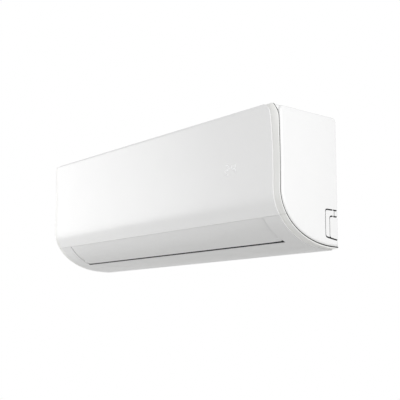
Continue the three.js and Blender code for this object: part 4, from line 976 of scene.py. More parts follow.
def band(name, start, end):
    edges = (lambda height: panel_side(height) + BAND_SEAM, band_side)
    sheet = cross_sheet(name, band_stations(start, end), edges, band_spot, TRIM_WALL)
    return round_edges(sheet, TRIM_EDGE_ROUND)


def band_flange():
    """The tongue under the panel's edge that holds the band on it."""
    edges = (lambda height: TRIM_FLANGE_FROM, lambda height: panel_side(height) + TRIM_TONGUE)
    stations = band_stations(0, PANEL_END)
    return cross_sheet("band_flange", stations, edges, flange_spot, TRIM_TONGUE_WALL)


for end, sign in ENDS:
    parts = [apply_modifiers(band("band", 0, PANEL_END)), band_flange()]
    upper = mirrored(f"panel_band_{end}", joined("panel_band", parts), sign)
    dress(upper, band_abs, "panel", f"panel_trim_{end}")
    near_wall = station_after(SKIN, SOLE_START, SKIN.toe - FRAME_WALL)
    lower = mirrored(f"lower_band_{end}", band(f"lower_band_{end}", LOUVER_START, near_wall), sign)
    dress(lower, band_abs, "housing", f"lower_trim_{end}")


# End covers and pipe knock-outs


def side_outline(inset):
    """The end cover's closed outline, seen from the end."""
    stations = stations_between(0, LAST_STATION)[1:-1]
    front = [inset_point(SIDE, station, inset) for station in stations]
    back_low = Vector((-inset, SIDE.bottom + inset))
    radius = SIDE_BACK_RADIUS - inset
    centre = Vector((-SIDE_BACK_RADIUS, top_height(SIDE, 0) - SIDE_BACK_RADIUS))
    arc = [
        centre + radius * Vector((math.cos(angle), math.sin(angle)))
        for angle in (step / PART_STEPS[1] * math.pi / 2 for step in range(PART_STEPS[1] + 1))
    ]
    return [*front, back_low, *arc]


def side_tray(name):
    """The cover as a tray: a flat end face with a rounded rim, open towards the unit."""
    rim = PANEL_HALF + SEAM + GAP
    inner = side_outline(SIDE_SEAM_STEP + SIDE_WALL)
    rings = [[placed(x, spot) for spot in inner] for x in (END_FACE - SIDE_WALL, rim)]
    rings.append([placed(rim, spot) for spot in side_outline(SIDE_SEAM_STEP)])
    for step in range(SIDE_ROUND_STEPS + 1):
        angle = step / SIDE_ROUND_STEPS * math.pi / 2
        inset = SIDE_SEAM_STEP + SIDE_EDGE_ROUND * (1 - math.cos(angle))
        x = END_FACE - SIDE_EDGE_ROUND * (1 - math.sin(angle))
        rings.append([placed(x, spot) for spot in side_outline(inset)])
    return loft(name, rings)


def rounded(corners, radius, count=CORNER_STEPS):
    """A polygon with its corners rounded by curves."""
    outline = []
    for before, corner, after in zip(corners[-1:] + corners[:-1], corners, corners[1:] + corners[:1]):
        enter = corner.lerp(before, radius / (before - corner).length)
        leave = corner.lerp(after, radius / (after - corner).length)
        for step in range(count + 1):
            share = step / count
            outline.append(enter.lerp(corner, share).lerp(corner.lerp(leave, share), share))
    return outline


def knock_out(name, depth, high, shrink, from_x=PANEL_HALF - CUT_OVER, to_x=END_FACE + CUT_OVER):
    """The body that cuts a pipe opening, or the cover left in it once it is shrunk."""
    slope = (KNOCK_OUT_LOW - KNOCK_OUT_LOW_AT_WALL) / KNOCK_OUT_DEPTH
    top = high - shrink * KNOCK_OUT_LEVEL_SHARE
    low = KNOCK_OUT_LOW_AT_WALL + shrink * KNOCK_OUT_LEVEL_SHARE
    corners = [
        Vector((shrink - depth, low + slope * depth)), Vector((CUT_OVER, low)),
        Vector((CUT_OVER, top)), Vector((shrink - depth, top)),
    ]
    outline = rounded(corners, KNOCK_OUT_RADIUS - shrink)
    return prism(name, outline, from_x, to_x)


def outer_knock_out(shrink, **ends):
    return knock_out("outer_knock_out", KNOCK_OUT_DEPTH, KNOCK_OUT_HIGH, shrink, **ends)


def inner_knock_out(shrink, **ends):
    return knock_out("inner_knock_out", INNER_KNOCK_OUT_DEPTH, INNER_KNOCK_OUT_HIGH, shrink, **ends)


def shoulder_spot(station, x, sink):
    """The shoulder leaves the band's surface and runs out softly into the end cover's top."""
    start = band_side(skin_point(SKIN, station).y)
    share = min(1.0, (x - start) / (SHOULDER_END - start))
    foot = inset_point(SIDE, station, SIDE_SEAM_STEP + sink)
    return band_spot(station, start, sink).lerp(foot, share * share * (3 - 2 * share))


def shoulder_sheet(name, edges, spot):
    stations = band_stations(0, face_station(SKIN, SKIN.top - SHOULDER_LOW))
    return cross_sheet(name, stations, edges, spot, SHOULDER_WALL)


def split_slot(from_x, to_x):
    """The short upright slot between the two knock-outs' upper edges."""
    deep = (-KNOCK_OUT_SPLIT - KNOCK_OUT_SLOT / 2, -KNOCK_OUT_SPLIT + KNOCK_OUT_SLOT / 2)
    return block("split_slot", (from_x, to_x), deep, (INNER_KNOCK_OUT_HIGH - CUT_OVER, KNOCK_OUT_HIGH))


def bridge(high):
    """A tab that holds the knock-out in its opening until it is broken out."""
    deep = (-KNOCK_OUT_TAB - KNOCK_OUT_TAB_WIDE, -KNOCK_OUT_TAB)
    low = high - KNOCK_OUT_SLOT * KNOCK_OUT_LEVEL_SHARE - GAP
    return block("bridge", (END_FACE - SIDE_WALL, END_FACE - GAP), deep, (low, high + GAP))


def cover_shoulder():
    """The end cover's front corner, beside the band's rounded upper corner."""
    edges = (lambda height: band_side(height) + SHOULDER_SEAM, lambda height: SHOULDER_END)
    return shoulder_sheet("cover_shoulder", edges, shoulder_spot)


def shade_strip_spot(station, x, sink):
    return shoulder_spot(station, x, sink + SHOULDER_SHADE_SINK)


# A dark strip in the joint beside the band's upper corner: painted shade.
def shoulder_seal():
    edges = (
        lambda height: band_side(height) + SHOULDER_SHADE_GAP,
        lambda height: band_side(height) + SHOULDER_SEAM + GAP,
    )
    return shoulder_sheet("shoulder_seal", edges, shade_strip_spot)


def finish_cover(piece, node, sign):
    mirrored(node + "_moulding", round_edges(piece, TRIM_EDGE_ROUND), sign)
    return dress(piece, cover_abs, "housing", node, slot="glossWhite")


for end, sign in ENDS:
    cover = boolean(side_tray("end_cover"), outer_knock_out(0), "DIFFERENCE")
    finish_cover(cover, f"end_cover_{end}", sign)
    shoulder = mirrored(f"cover_shoulder_{end}", round_edges(cover_shoulder(), SMALL_ROUND), sign)
    dress(shoulder, cover_abs, "housing", slot="glossWhite")
    pipe_cover = boolean(side_tray("pipe_cover"), outer_knock_out(KNOCK_OUT_SLOT), "INTERSECT")
    if sign > 0:
        boolean(pipe_cover, inner_knock_out(0), "DIFFERENCE")
        boolean(pipe_cover, split_slot(PANEL_HALF, END_FACE + CUT_OVER), "DIFFERENCE")
        bridges = [bridge(high) for high in (KNOCK_OUT_HIGH, INNER_KNOCK_OUT_HIGH)]
        pipe_cover = joined("pipe_cover", [pipe_cover, *bridges])
    finish_cover(pipe_cover, f"pipe_cover_{end}", sign)
small_cover = boolean(side_tray("small_cover"), inner_knock_out(KNOCK_OUT_SLOT), "INTERSECT")
finish_cover(small_cover, "pipe_cover_inner", 1)


# Dark strips of painted shade: they lie in the joints and make each one read as a dark line


def joint_spot(station, x, sink):
    return inset_point(SIDE, station, sink - SEAM / 2)


def band_seal():
    """A soft dark strip in the joint between the end band and the end cover: painted shade."""
    edges = (
        lambda height: band_side(height) - BAND_SHADE_SINK - BAND_SHADE_DEPTH,
        lambda height: band_side(height) - BAND_SHADE_SINK,
    )
    stations = band_stations(0, LAST_STATION)
    wall = SEAM / 2 + SIDE_SEAM_STEP + GAP
    return cross_sheet("band_seal", stations, edges, joint_spot, wall)


def slot_painted_shade(cut):
    """A dark strip that fills the slot round a knock-out, sunk below the cover's face: painted shade in the
    slot.
    """
    ends = {"from_x": END_FACE - SIDE_WALL - SLOT_SHADE_SINK, "to_x": END_FACE - SLOT_SHADE_SINK}
    ring = boolean(cut(0, **ends), cut(KNOCK_OUT_SLOT), "DIFFERENCE")
    cover = prism("cover_limit", side_outline(SIDE_SEAM_STEP + SIDE_EDGE_ROUND), PANEL_HALF, END_FACE)
    return boolean(ring, cover, "INTERSECT")


for end, sign in ENDS:
    corner_strip = mirrored(f"shoulder_seal_{end}", shoulder_seal(), sign)
    dress(corner_strip, rubber, "housing")
    band_shade_strip = mirrored(f"band_seal_{end}", band_seal(), sign)
    dress(band_shade_strip, rubber, "housing")
    slot_strip = mirrored(f"slot_seal_{end}", slot_painted_shade(outer_knock_out), sign)
    dress(slot_strip, rubber, "housing")
dress(mirrored("slot_seal_inner", slot_painted_shade(inner_knock_out), 1), rubber, "housing")
# The split slot's dark strip: painted shade too.
split_painted_shade = split_slot(END_FACE - SIDE_WALL - SLOT_SHADE_SINK, END_FACE - SLOT_SHADE_SINK)
dress(mirrored("slot_seal_split", split_painted_shade, 1), rubber, "housing")


# Louver


def louver_inset(x):
    """The face lies just below the skin, and sinks softly towards both ends."""
    past = max(0.0, abs(x) - LOUVER_HALF + LOUVER_END_CURVE) / LOUVER_END_CURVE
    return LOUVER_SINK + LOUVER_END_SINK * past ** 2


def louver_flap():
    """The flap, rounded at its lower corners, with its ribs, bosses and pivot pins."""
    fine = [
        station_after(SKIN, LOUVER_END, -LOUVER_CORNER * step / LOUVER_CORNER_ROWS)
        for step in range(LOUVER_CORNER_ROWS, 0, -1)
    ]
    stations = [station for station in stations_between(LOUVER_START, LOUVER_END) if station < fine[0]]
    flap = skin_sheet(
        "flap", [*stations, *fine, LOUVER_END], LOUVER_END, LOUVER_HALF, LOUVER_CORNER,
        louver_inset, LOUVER_WALL,
    )
    parts = [apply_modifiers(round_edges(flap, LOUVER_EDGE_ROUND))]
    rib_start = station_after(SKIN, LOUVER_START, LOUVER_WALL)
    rib_end = station_after(SKIN, LOUVER_END, -LOUVER_WALL)
    rib = strip(SKIN, rib_start, rib_end, LOUVER_WALL - GAP, LOUVER_RIB_HEIGHT + GAP)
    for place in range(-LOUVER_RIBS_EACH_SIDE, LOUVER_RIBS_EACH_SIDE + 1):
        x = place * LOUVER_RIB_PITCH
        parts.append(prism("rib", rib, x - LOUVER_RIB_WALL / 2, x + LOUVER_RIB_WALL / 2))
    for sign in (-1, 1):
        start = LOUVER_HALF - LOUVER_BOSS_LENGTH
        boss = rod("boss", LOUVER_BOSS, *LOUVER_PIVOT, start, LOUVER_HALF, BOSS_STEPS)
        pin = rod("pin", LOUVER_PIN, *LOUVER_PIVOT, start, LOUVER_PIN_END)
        for part in (boss, pin):
            parts.append(mirrored("end", apply_modifiers(round_edges(part, SMALL_ROUND)), sign))
    return joined("louver_moulding", parts)


def slit_seal():
    """The dark strip that the closed louver comes down to: painted shade in the slit below it."""
    start = station_after(SKIN, LOUVER_END, SLIT_SHADE_FROM)
    outline = strip(SKIN, start, station_after(SKIN, LIP_START, GAP), SLIT_SHADE_SINK, SLIT_SHADE_WALL)
    return prism("slit_seal", outline, -LOUVER_HALF, LOUVER_HALF)


dress(louver_flap(), louver_abs, "louver", "louver")
dress(slit_seal(), rubber, "housing")


# Front frame: underside shell, cheeks, filter ribs, bars and hinge brackets


def screw_spot():
    """Where a frame screw meets the underside."""
    forward = (SCREW_DEPTH - SKIN.toe) / (SKIN.depth - SKIN.toe)
    station = BELLY_START + math.acos(forward ** (FULLNESS_SHARE / 2)) / (math.pi / 2)
    return skin_point(SKIN, station)


def upright_bar(name, radius, x, y, low, high):
    """A round bar that stands upright."""
    rings = []
    for height in (low, high):
        ring = circle(x, y, radius)
        rings.append([placed(spot.x, Vector((spot.y, height))) for spot in ring])
    return loft(name, rings)


def frame_shell():
    """The underside: one skin with the outlet cut from it, and the two screw recesses."""
    shell_outline = strip(SKIN, LOUVER_START, SOLE_END, 0, FRAME_WALL)
    piece = prism("frame_shell", shell_outline, -PANEL_HALF, PANEL_HALF)
    opening = strip(SKIN, station_after(SKIN, LOUVER_START, -CUT_OVER), LIP_START, -CUT_OVER, 3 * CUT_OVER)
    half = LOUVER_HALF + PANEL_OPEN_GAP
    boolean(piece, prism("outlet", opening, -half, half), "DIFFERENCE")
    base = screw_spot()
    for x in (-SCREW_X, SCREW_X):
        hole = upright_bar("recess", SCREW_RECESS, x, base.x, base.y - CUT_OVER, base.y + CUT_OVER)
        boolean(piece, hole, "DIFFERENCE")
    return apply_modifiers(round_edges(piece, FRAME_EDGE_ROUND))


def screw_cap(x):
    """A flush cap over a screw: a round of the same skin, a hair smaller than its recess."""
    base = screw_spot()
    sheet = strip(SKIN, LIP_START, SOLE_START, SCREW_CAP_GAP, SCREW_CAP_WALL)
    skin = prism("cap", sheet, x - CUT_OVER, x + CUT_OVER)
    radius = SCREW_RECESS - SCREW_CAP_GAP
    low, high = base.y - CUT_OVER, base.y + CUT_OVER
    return boolean(skin, upright_bar("round", radius, x, base.x, low, high), "INTERSECT")


def cross_screw(x, y, seat, shank, length):
    """A pan-head screw that stands on its head, with the cross recess in the head's underside."""
    low = seat - CROSS_HEAD_HEIGHT
    head = round_edges(upright_bar("head", CROSS_HEAD, x, y, low, seat), CROSS_HEAD_ROUND)
    apply_modifiers(head)
    ends = (low - CROSS_DEPTH, low + CROSS_DEPTH)
    for wide, deep in ((CROSS_HALF, CROSS_WALL / 2), (CROSS_WALL / 2, CROSS_HALF)):
        boolean(head, block("cross", (x - wide, x + wide), (y - deep, y + deep), ends), "DIFFERENCE")
    return joined("cross_screw", [head, upright_bar("shank", shank, x, y, seat, seat + length)])


def rib_outline():
    middle = GRILLE_TOP - GRILLE_WALL / 2
    return [
        Vector((-RIB_BACK, RIB_LOW)), Vector((-RIB_BACK, RIB_HIGH)),
        Vector((RIB_TAIL - GRILLE_FRONT, middle)), Vector((-GRILLE_FRONT, middle)),
        Vector((-FILTER_FRONT, RIB_HIGH)), Vector((-FILTER_FRONT, FRAME_BAR_TOP + RIB_TAIL)),
        Vector((-RIB_TOE - RIB_BACK, RIB_LOW)),
    ]


def hinge_bracket():
    """The eye on the frame in which the panel's pin turns."""
    start = HINGE_ARM_X + HINGE_ARM_WALL + 2 * GAP
    end = HINGE_ARM_X + HINGE_PIN_LENGTH - GAP
    eye = SKIN.top - PANEL_WALL - HINGE.y - GAP
    top = GRILLE_TOP - GRILLE_WALL / 2
    reach = BRACKET_REACH - GRILLE_FRONT
    clear = HINGE.y + HINGE_CLEARANCE
    web = [
        Vector((HINGE.x + HINGE_PIN + HINGE_CLEARANCE, HINGE.y - eye)), Vector((reach, HINGE.y - eye)),
        Vector((reach, top)), Vector((BRACKET_STEP - GRILLE_FRONT, top)),
        Vector((-GRILLE_FRONT, clear)), Vector((HINGE.x + HINGE_PIN + HINGE_CLEARANCE, clear)),
    ]
    ring = rod("eye", eye, *HINGE, start, end)
    hole = rod("hole", HINGE_PIN + HINGE_CLEARANCE, *HINGE, start - CUT_OVER, end + CUT_OVER)
    return [prism("web", web, start, end), boolean(ring, hole, "DIFFERENCE")]


def frame_end():
    """Cheek, upright and bracket of the motor's end."""
    under_flange = PANEL_WALL + FRAME_BEHIND_PANEL + TRIM_FLANGE_STEP + TRIM_WALL
    upper = strip(SKIN, face_station(SKIN, RIB_HIGH), LOUVER_END, under_flange, FRAME_CHEEK)
    lower = strip(SKIN, LOUVER_START, SOLE_END, FRAME_WALL - GAP, under_flange + FRAME_CHEEK)
    outlines = (upper, lower, rib_outline())
    end = PANEL_HALF - FRAME_WALL / 2
    return [prism("cheek", outline, FRAME_CHEEK_X, end) for outline in outlines] + hinge_bracket()


def frame_bars():
    start = belly_station(SKIN, FRAME_BAR_TOP)
    inset = PANEL_WALL + FRAME_BEHIND_PANEL
    front = strip(SKIN, start, belly_station(SKIN, FRAME_BAR_LOW), inset, FRAME_BAR_WALL)
    under_flange = inset + TRIM_FLANGE_STEP + TRIM_WALL
    back = strip(SKIN, start, belly_station(SKIN, RIB_LOW), under_flange, FRAME_WALL)
    ribs = [prism("rib", rib_outline(), x - RIB_WALL / 2, x + RIB_WALL / 2) for x in RIB_X]
    return [
        prism("front_bar", front, -FRAME_BAR_HALF, FRAME_BAR_HALF),
        prism("back_bar", back, -PANEL_HALF, PANEL_HALF),
        *ribs,
    ]


def grille_border():
    """The top's solid border and the posts between its openings."""
    heights = (GRILLE_TOP - GRILLE_WALL, GRILLE_TOP)
    depths = (GRILLE_BORDER - GRILLE_FRONT, -GRILLE_BORDER - GRILLE_BACK)
    pitch = (GRILLE_RIGHT - GRILLE_LEFT) / GRILLE_COLUMNS
    posts = [GRILLE_LEFT + column * pitch for column in range(GRILLE_COLUMNS + 1)]
    spans = [(x - GRILLE_POST / 2, x + GRILLE_POST / 2) for x in posts[1:-1]]
    spans = [(-PANEL_HALF, posts[0] + GRILLE_POST / 2), *spans, (posts[-1] - GRILLE_POST / 2, PANEL_HALF)]
    parts = [block("post", span, depths, heights) for span in spans]
    edges = ((-GRILLE_FRONT, GRILLE_BORDER - GRILLE_FRONT), (-GRILLE_BORDER - GRILLE_BACK, -GRILLE_BACK))
    return parts + [block("edge", (-PANEL_HALF, PANEL_HALF), edge, heights) for edge in edges]


def front_frame():
    parts = []
    for part in [*frame_bars(), *grille_border()]:
        parts.append(apply_modifiers(round_edges(part, SMALL_ROUND, segments=2)))
    for sign in (-1, 1):
        for part in frame_end():
            parts.append(mirrored("end", apply_modifiers(round_edges(part, SMALL_ROUND, segments=2)), sign))
    return joined("frame_moulding", [frame_shell(), *parts])


dress(front_frame(), satin_abs, "housing", "front_frame")
for end, sign in ENDS:
    x = sign * SCREW_X
    cap = round_edges(screw_cap(x), GAP / 2)
    cap.name = f"screw_cap_{end}"
    dress(cap, satin_abs, "housing")
    base = screw_spot()
    screw = cross_screw(x, base.x, base.y + SCREW_SEAT, SCREW_SHANK, SCREW_LENGTH)
    screw.name = f"frame_screw_{end}_turned"
    dress(screw, steel, "housing", f"frame_screw_{end}")


# Repeated shapes: one node tree places copies in a row, each turned a little more than the last


def repeat_tree():
    tree = bpy.data.node_groups.new("repeat_in_a_row", "GeometryNodeTree")
    kinds = {
        "Shape": "NodeSocketObject", "Count": "NodeSocketInt", "Step": "NodeSocketVector",
        "Turn": "NodeSocketVector", "Material": "NodeSocketMaterial",
    }
    sockets = {}
    for name, kind in kinds.items():
        sockets[name] = tree.interface.new_socket(name, in_out="INPUT", socket_type=kind).identifier
    tree.interface.new_socket("Geometry", in_out="OUTPUT", socket_type="NodeSocketGeometry")
    given = add_node(tree, "NodeGroupInput").outputs
    row = add_node(
        tree, "GeometryNodeMeshLine", {"mode": "OFFSET"},
        {"Count": given["Count"], "Offset": given["Step"]},
    )
    shape = add_node(tree, "GeometryNodeObjectInfo", links={"Object": given["Shape"]})
    index = add_node(tree, "GeometryNodeInputIndex")
    turn = add_node(
        tree, "ShaderNodeVectorMath", {"operation": "SCALE"},
        {"Vector": given["Turn"], "Scale": index.outputs[0]},
    )
    copies = add_node(
        tree, "GeometryNodeInstanceOnPoints",
        links={
            "Points": row.outputs[0], "Instance": shape.outputs["Geometry"], "Rotation": turn.outputs[0],
        },
    )
    real = add_node(tree, "GeometryNodeRealizeInstances", links={0: copies.outputs[0]})
    coloured = add_node(
        tree, "GeometryNodeSetMaterial", links={"Geometry": real.outputs[0], "Material": given["Material"]},
    )
    add_node(tree, "NodeGroupOutput", links={0: coloured.outputs[0]})
    return tree, sockets


REPEAT_TREE, REPEAT_SOCKETS = repeat_tree()


def repeated(name, shape, count, step, material, turn=(0, 0, 0)):
    """Copies of a shape, each a step in millimetres further and a turn further, as one mesh."""
    thing = new_object(name, bpy.data.meshes.new(name))
    modifier = thing.modifiers.new("copies", "NODES")
    modifier.node_group = REPEAT_TREE
    values = {
        "Shape": shape, "Count": count, "Step": Vector(step) / METRE, "Turn": turn, "Material": material,
    }
    for socket, value in values.items():
        modifier[REPEAT_SOCKETS[socket]] = value
    apply_modifiers(thing)
    bpy.data.objects.remove(shape)
    thing.data.shade_smooth()
    return thing


def moved(thing, x, y, z):
    """Shifts a mesh by millimetres, so that the object itself stays at the origin."""
    thing.data.transform(Matrix.Translation(Vector((x, y, z)) / METRE))
    return thing


# Grille slats in the top


def slat_outline(y):
    """A slat that leans back a little and has a round upper edge."""
    low, top = GRILLE_TOP - GRILLE_SLAT_DROP, GRILLE_TOP - GAP
    lean = Vector((GRILLE_SLAT_LEAN, 0))
    half = Vector((GRILLE_SLAT_WALL / 2, 0))
    foot, head = Vector((y, low)) + lean, Vector((y, top - GRILLE_SLAT_WALL / 2))
    arc = [
        head + GRILLE_SLAT_WALL / 2 * Vector((math.cos(turn), math.sin(turn)))
        for turn in (step / GRILLE_SLAT_STEPS * math.pi for step in range(GRILLE_SLAT_STEPS + 1))
    ]
    return [foot - half, foot + half, *arc]


def grille_slats():
    depth = GRILLE_FRONT - GRILLE_BACK - 2 * GRILLE_BORDER
    count = round(depth / GRILLE_SLAT_PITCH) - 1
    pitch = depth / (count + 1)
    slat = prism(
        "slat", slat_outline(GRILLE_BORDER - GRILLE_FRONT + pitch), GRILLE_LEFT, GRILLE_RIGHT,
    )
    return repeated("grille_slats", slat, count, (0, pitch, 0), satin_abs)


dress(grille_slats(), satin_abs, "housing")


# Display: two plain numerals on the panel near the motor's end, as faint as light from behind it

SEGMENTS = {
    "top": ((0, 1), (1, 1)), "middle": ((0, 1 / 2), (1, 1 / 2)), "bottom": ((0, 0), (1, 0)),
    "upper_left": ((0, 1 / 2), (0, 1)), "upper_right": ((1, 1 / 2), (1, 1)),
    "lower_left": ((0, 0), (0, 1 / 2)), "lower_right": ((1, 0), (1, 1 / 2)),
}
NUMERALS = {
    2: ("top", "upper_right", "middle", "lower_left", "bottom"),
    4: ("upper_left", "upper_right", "middle", "lower_right"),
}


def numeral_stroke(segment, x):
    """One bar of a seven-bar numeral, laid on the panel's face."""
    ends = []
    for across_share, up_share in SEGMENTS[segment]:
        ends.append((x + across_share * NUMERAL_WIDTH, NUMERAL_LOW + up_share * NUMERAL_HEIGHT))
    (left, low), (right, high) = ends
    half, trim = NUMERAL_STROKE / 2, NUMERAL_STROKE * NUMERAL_TRIM_SHARE
    xs = (left + trim, right - trim) if low == high else (left - half, left + half)
    zs = (low - half, low + half) if low == high else (low + trim, high - trim)
    return block("stroke", xs, (-SKIN.depth - NUMERAL_PROUD, GAP - SKIN.depth), zs)


def numerals():
    strokes = []
    for place, number in enumerate(SHOWN_NUMERALS):
        x = NUMERAL_LEFT + place * NUMERAL_PITCH
        strokes += [numeral_stroke(segment, x) for segment in NUMERALS[number]]
    return joined("display_numerals", strokes)


dress(numerals(), lit_numerals, "panel", slot="glossWhite")


# Coil: three blocks of thin fins, with end plates and return bends


def coil_spot(name, distance, across=0.0):
    """A place in a block's section: so far up from its foot, and so far to the side."""
    foot, head, _ = COIL_BLOCKS[name]
    along = (head - foot).normalized()
    return foot + along * distance + Vector((-along.y, along.x)) * across


def coil_outline(name, margin):
    foot, head, thickness = COIL_BLOCKS[name]
    length, half = (head - foot).length + margin, thickness / 2 + margin
    corners = [
        coil_spot(name, -margin, -half), coil_spot(name, length, -half),
        coil_spot(name, length, half), coil_spot(name, -margin, half),
    ]
    return rounded(corners, COIL_FIN_CORNER + margin, COIL_CORNER_STEPS)


def coil_fins(name):
    fin = prism("fin", coil_outline(name, 0), COIL_LEFT, COIL_LEFT + COIL_FIN_WALL)
    count = int((COIL_RIGHT - COIL_LEFT) / COIL_FIN_PITCH)
    return repeated(f"{name}_fins", fin, count, (COIL_FIN_PITCH, 0, 0), fin_aluminium)


def tube(name, path, radius):
    """A round tube through the points of a path, in metres."""
    rings = []
    side = (path[1] - path[0]).normalized().orthogonal().normalized()
    for index, spot in enumerate(path):
        along = (path[min(index + 1, len(path) - 1)] - path[max(index - 1, 0)]).normalized()
        side = (side - along * side.dot(along)).normalized()
        other = along.cross(side)
        rings.append([
            spot + (side * math.cos(turn) + other * math.sin(turn)) * radius / METRE
            for turn in (step / TUBE_STEPS * math.tau for step in range(TUBE_STEPS))
        ])
    return loft(name, rings)


def return_bend(name, start, near, sign):
    """A half turn of tube that stands off the end plate."""
    low, high = coil_spot(name, start), coil_spot(name, start + BEND_PITCH)
    middle, far = low.lerp(high, 1 / 2), near + sign * BEND_LEG
    path = [(near, low)]
    for step in range(BEND_STEPS + 1):
        angle = step / BEND_STEPS * math.pi
        path.append((far + sign * BEND_PITCH / 2 * math.sin(angle), middle.lerp(low, math.cos(angle))))
    path.append((near, high))
    return tube("return_bend", [placed(x, spot) for x, spot in path], BEND_TUBE)


def coil_end(node, from_x, sign):
    """The plate at one end of the coil, with the return bends that stand on it."""
    plates = [
        prism("plate", coil_outline(name, COIL_MARGIN), from_x, from_x + COIL_PLATE)
        for name in COIL_BLOCKS
    ]
    xs = (from_x - CUT_OVER, from_x + CUT_OVER)
    low = block("low", xs, (-SKIN.depth, 0), (0, PAN_NOSE + COIL_PLATE))
    boolean(plates[0], low, "DIFFERENCE")
    face = from_x + COIL_PLATE if sign > 0 else from_x
    dress(joined(f"{node}_plate", plates), zinc_steel, "housing")
    bends = [
        return_bend(name, start, face, sign) for name, starts in BEND_STARTS.items() for start in starts
    ]
    dress(joined(f"{node}_bends", bends), copper, "housing", node)


for name in COIL_BLOCKS:
    dress(coil_fins(name), fin_aluminium, "housing", f"coil_{name}")
coil_end("coil_end_left", COIL_LEFT - COIL_PLATE - GAP, -1)
coil_end("coil_end_right", COIL_RIGHT + GAP, 1)


# Refrigerant pipes, with a flare nut at the end of each


def bent_path(corners, radius):
    """The corners of a pipe's run, each turned into a smooth bend."""
    path = [corners[0]]
    for before, corner, after in zip(corners, corners[1:], corners[2:]):
        legs = [(other, (other - corner).length) for other in (before, after)]
        enter, leave = (corner.lerp(other, min(radius / length, 1 / 2)) for other, length in legs)
        for step in range(PIPE_BEND_STEPS + 1):
            share = step / PIPE_BEND_STEPS
            path.append(enter.lerp(corner, share).lerp(corner.lerp(leave, share), share))
    return path + [corners[-1]]


def refrigerant_pipe(name, pipe):
    """Out of the coil's rear block, back to the wall, down and along behind the unit."""
    start = coil_spot("rear", pipe["rise"])
    bend = PIPE_BEND_SHARE * pipe["radius"]
    turn = Vector((-pipe["depth"], COIL_BLOCKS["rear"][0].y - bend))
    low = Vector((-pipe["depth"], pipe["run"]))
    corners = [
        placed(COIL_RIGHT + GAP + COIL_PLATE + GAP, start), placed(pipe["drop"], start),
        placed(pipe["drop"], turn), placed(pipe["drop"], low), placed(pipe["end"], low),
    ]
    return tube(name, bent_path(corners, bend / METRE), pipe["radius"])


def flare_nut(pipe):
    """A chamfered hexagon nut with the threaded nose in front of it."""
    end = pipe["end"] - GAP
    start = end - pipe["nut_length"]
    chamfer = NUT_CHAMFER_SHARE * pipe["nut_length"]
    nut = []
    sections = ((start, NUT_END_SHARE), (start + chamfer, 1), (end - chamfer, 1), (end, NUT_END_SHARE))
    for x, share in sections:
        corners = circle(-pipe["depth"], pipe["run"], share * pipe["nut"], HEXAGON)
        nut.append([placed(x, spot) for spot in corners])
    nose = []
    length = pipe["radius"] / NUT_THREADS / 2
    for step in range(2 * NUT_THREADS + 1):
        radius = pipe["radius"] - NUT_THREAD_DEPTH * (step % 2)
        ring = circle(-pipe["depth"], pipe["run"], radius)
        nose.append([placed(start - step * length, spot) for spot in ring])
    return [round_edges(loft("nut", nut), SMALL_ROUND, segments=2), loft("nose", nose)]


for kind, pipe in PIPES.items():
    dress(refrigerant_pipe(f"{kind}_tube", pipe), copper, "housing", f"{kind}_pipe")
    nut = joined(f"{kind}_nut_turned", [apply_modifiers(part) for part in flare_nut(pipe)])
    dress(nut, brass, "housing", f"{kind}_flare_nut")


# Mouldings kept as in the frame, with their edges rounded

MERGE_REACH = 1e-5  # in metres: a node's corners nearer than this become one
FLAT_ANGLE = math.radians(0.5)
SOFTENED_NODES = {  # by the radius of their edges
    0.3: [f"vane_{end}_{number}" for end in ("left", "right") for number in range(1, 6)]
    + ["link_rod_left", "link_rod_right", "vane_rail", "control_board", "display_board", "louver_bush"],
    0.5: [
        "filter_frame_left", "filter_frame_right", "terminal_block", "mounting_plate", "hand_button",
        "rear_chassis", "drain_pan", "drain_spout", "fan_bearing", "coil_sensor",
    ],
    0.8: ["control_box", "control_box_lid", "louver_motor", "fan_motor", "motor_bracket", "lid_screw"],
    0.4: ["motor_shaft", "fan_stub"],
}


def softened(node, width):
    """A copy of a node, its triangles merged into whole faces and its edges rounded."""
    source = frame["nodes"][node]
    mesh = source.data.copy()
    work = bmesh.new()
    work.from_mesh(mesh)
    bmesh.ops.remove_doubles(work, verts=work.verts, dist=MERGE_REACH)
    bmesh.ops.dissolve_limit(
        work, angle_limit=FLAT_ANGLE, verts=work.verts, edges=work.edges, use_dissolve_boundaries=False,
    )
    bmesh.ops.recalc_face_normals(work, faces=work.faces)
    work.to_mesh(mesh)
    work.free()
    mesh.shade_smooth()
    thing = round_edges(new_object(f"{node}_moulding", mesh), width, segments=2)
    body = source.parent.name.removeprefix("body:")
    return dress(thing, FINISHES[SLOTS[node]], body, node)


for width, nodes in SOFTENED_NODES.items():
    for node in nodes:
        softened(node, width)


# Cross-flow fan: long curved blades, parted into bays by thin rings


def blade_outline():
    """A blade in the fan's section: an arc from the inner edge to the rim, thin at both ends."""
    sweep = math.radians(FAN_SWEEP_DEG)
    upper, lower = [], []
    for step in range(BLADE_STEPS + 1):
        share = step / BLADE_STEPS
        radius = FAN_INNER + BLADE_WALL + (FAN_RADIUS - BLADE_WALL - FAN_INNER - BLADE_WALL / 2) * share
        turn = sweep * share ** BLADE_CURVE_SHARE
        wall = BLADE_WALL / 2 * (BLADE_TIP_SHARE + (1 - BLADE_TIP_SHARE) * math.sin(math.pi * share))
        spot = radius * Vector((math.cos(turn), math.sin(turn)))
        across = Vector((-math.sin(turn), math.cos(turn))) * wall
        upper.append(spot + across)
        lower.append(spot - across)
    return upper + lower[::-1]


def fan_blades():
    """The blades about the fan's axis, each from end disc to end disc."""
    centre = Vector((0, -FAN_DEPTH, FAN_HEIGHT - ORIGIN_HEIGHT))
    rings = [
        [Vector((x, spot.x, spot.y)) / METRE for spot in blade_outline()]
        for x in (FAN_LEFT + FAN_DISC / 2, FAN_RIGHT - FAN_DISC / 2)
    ]
    blade = loft("blade", rings)
    blades = repeated("blades", blade, BLADE_COUNT, (0, 0, 0), fan_plastic, (math.tau / BLADE_COUNT, 0, 0))
    return moved(blades, *centre)


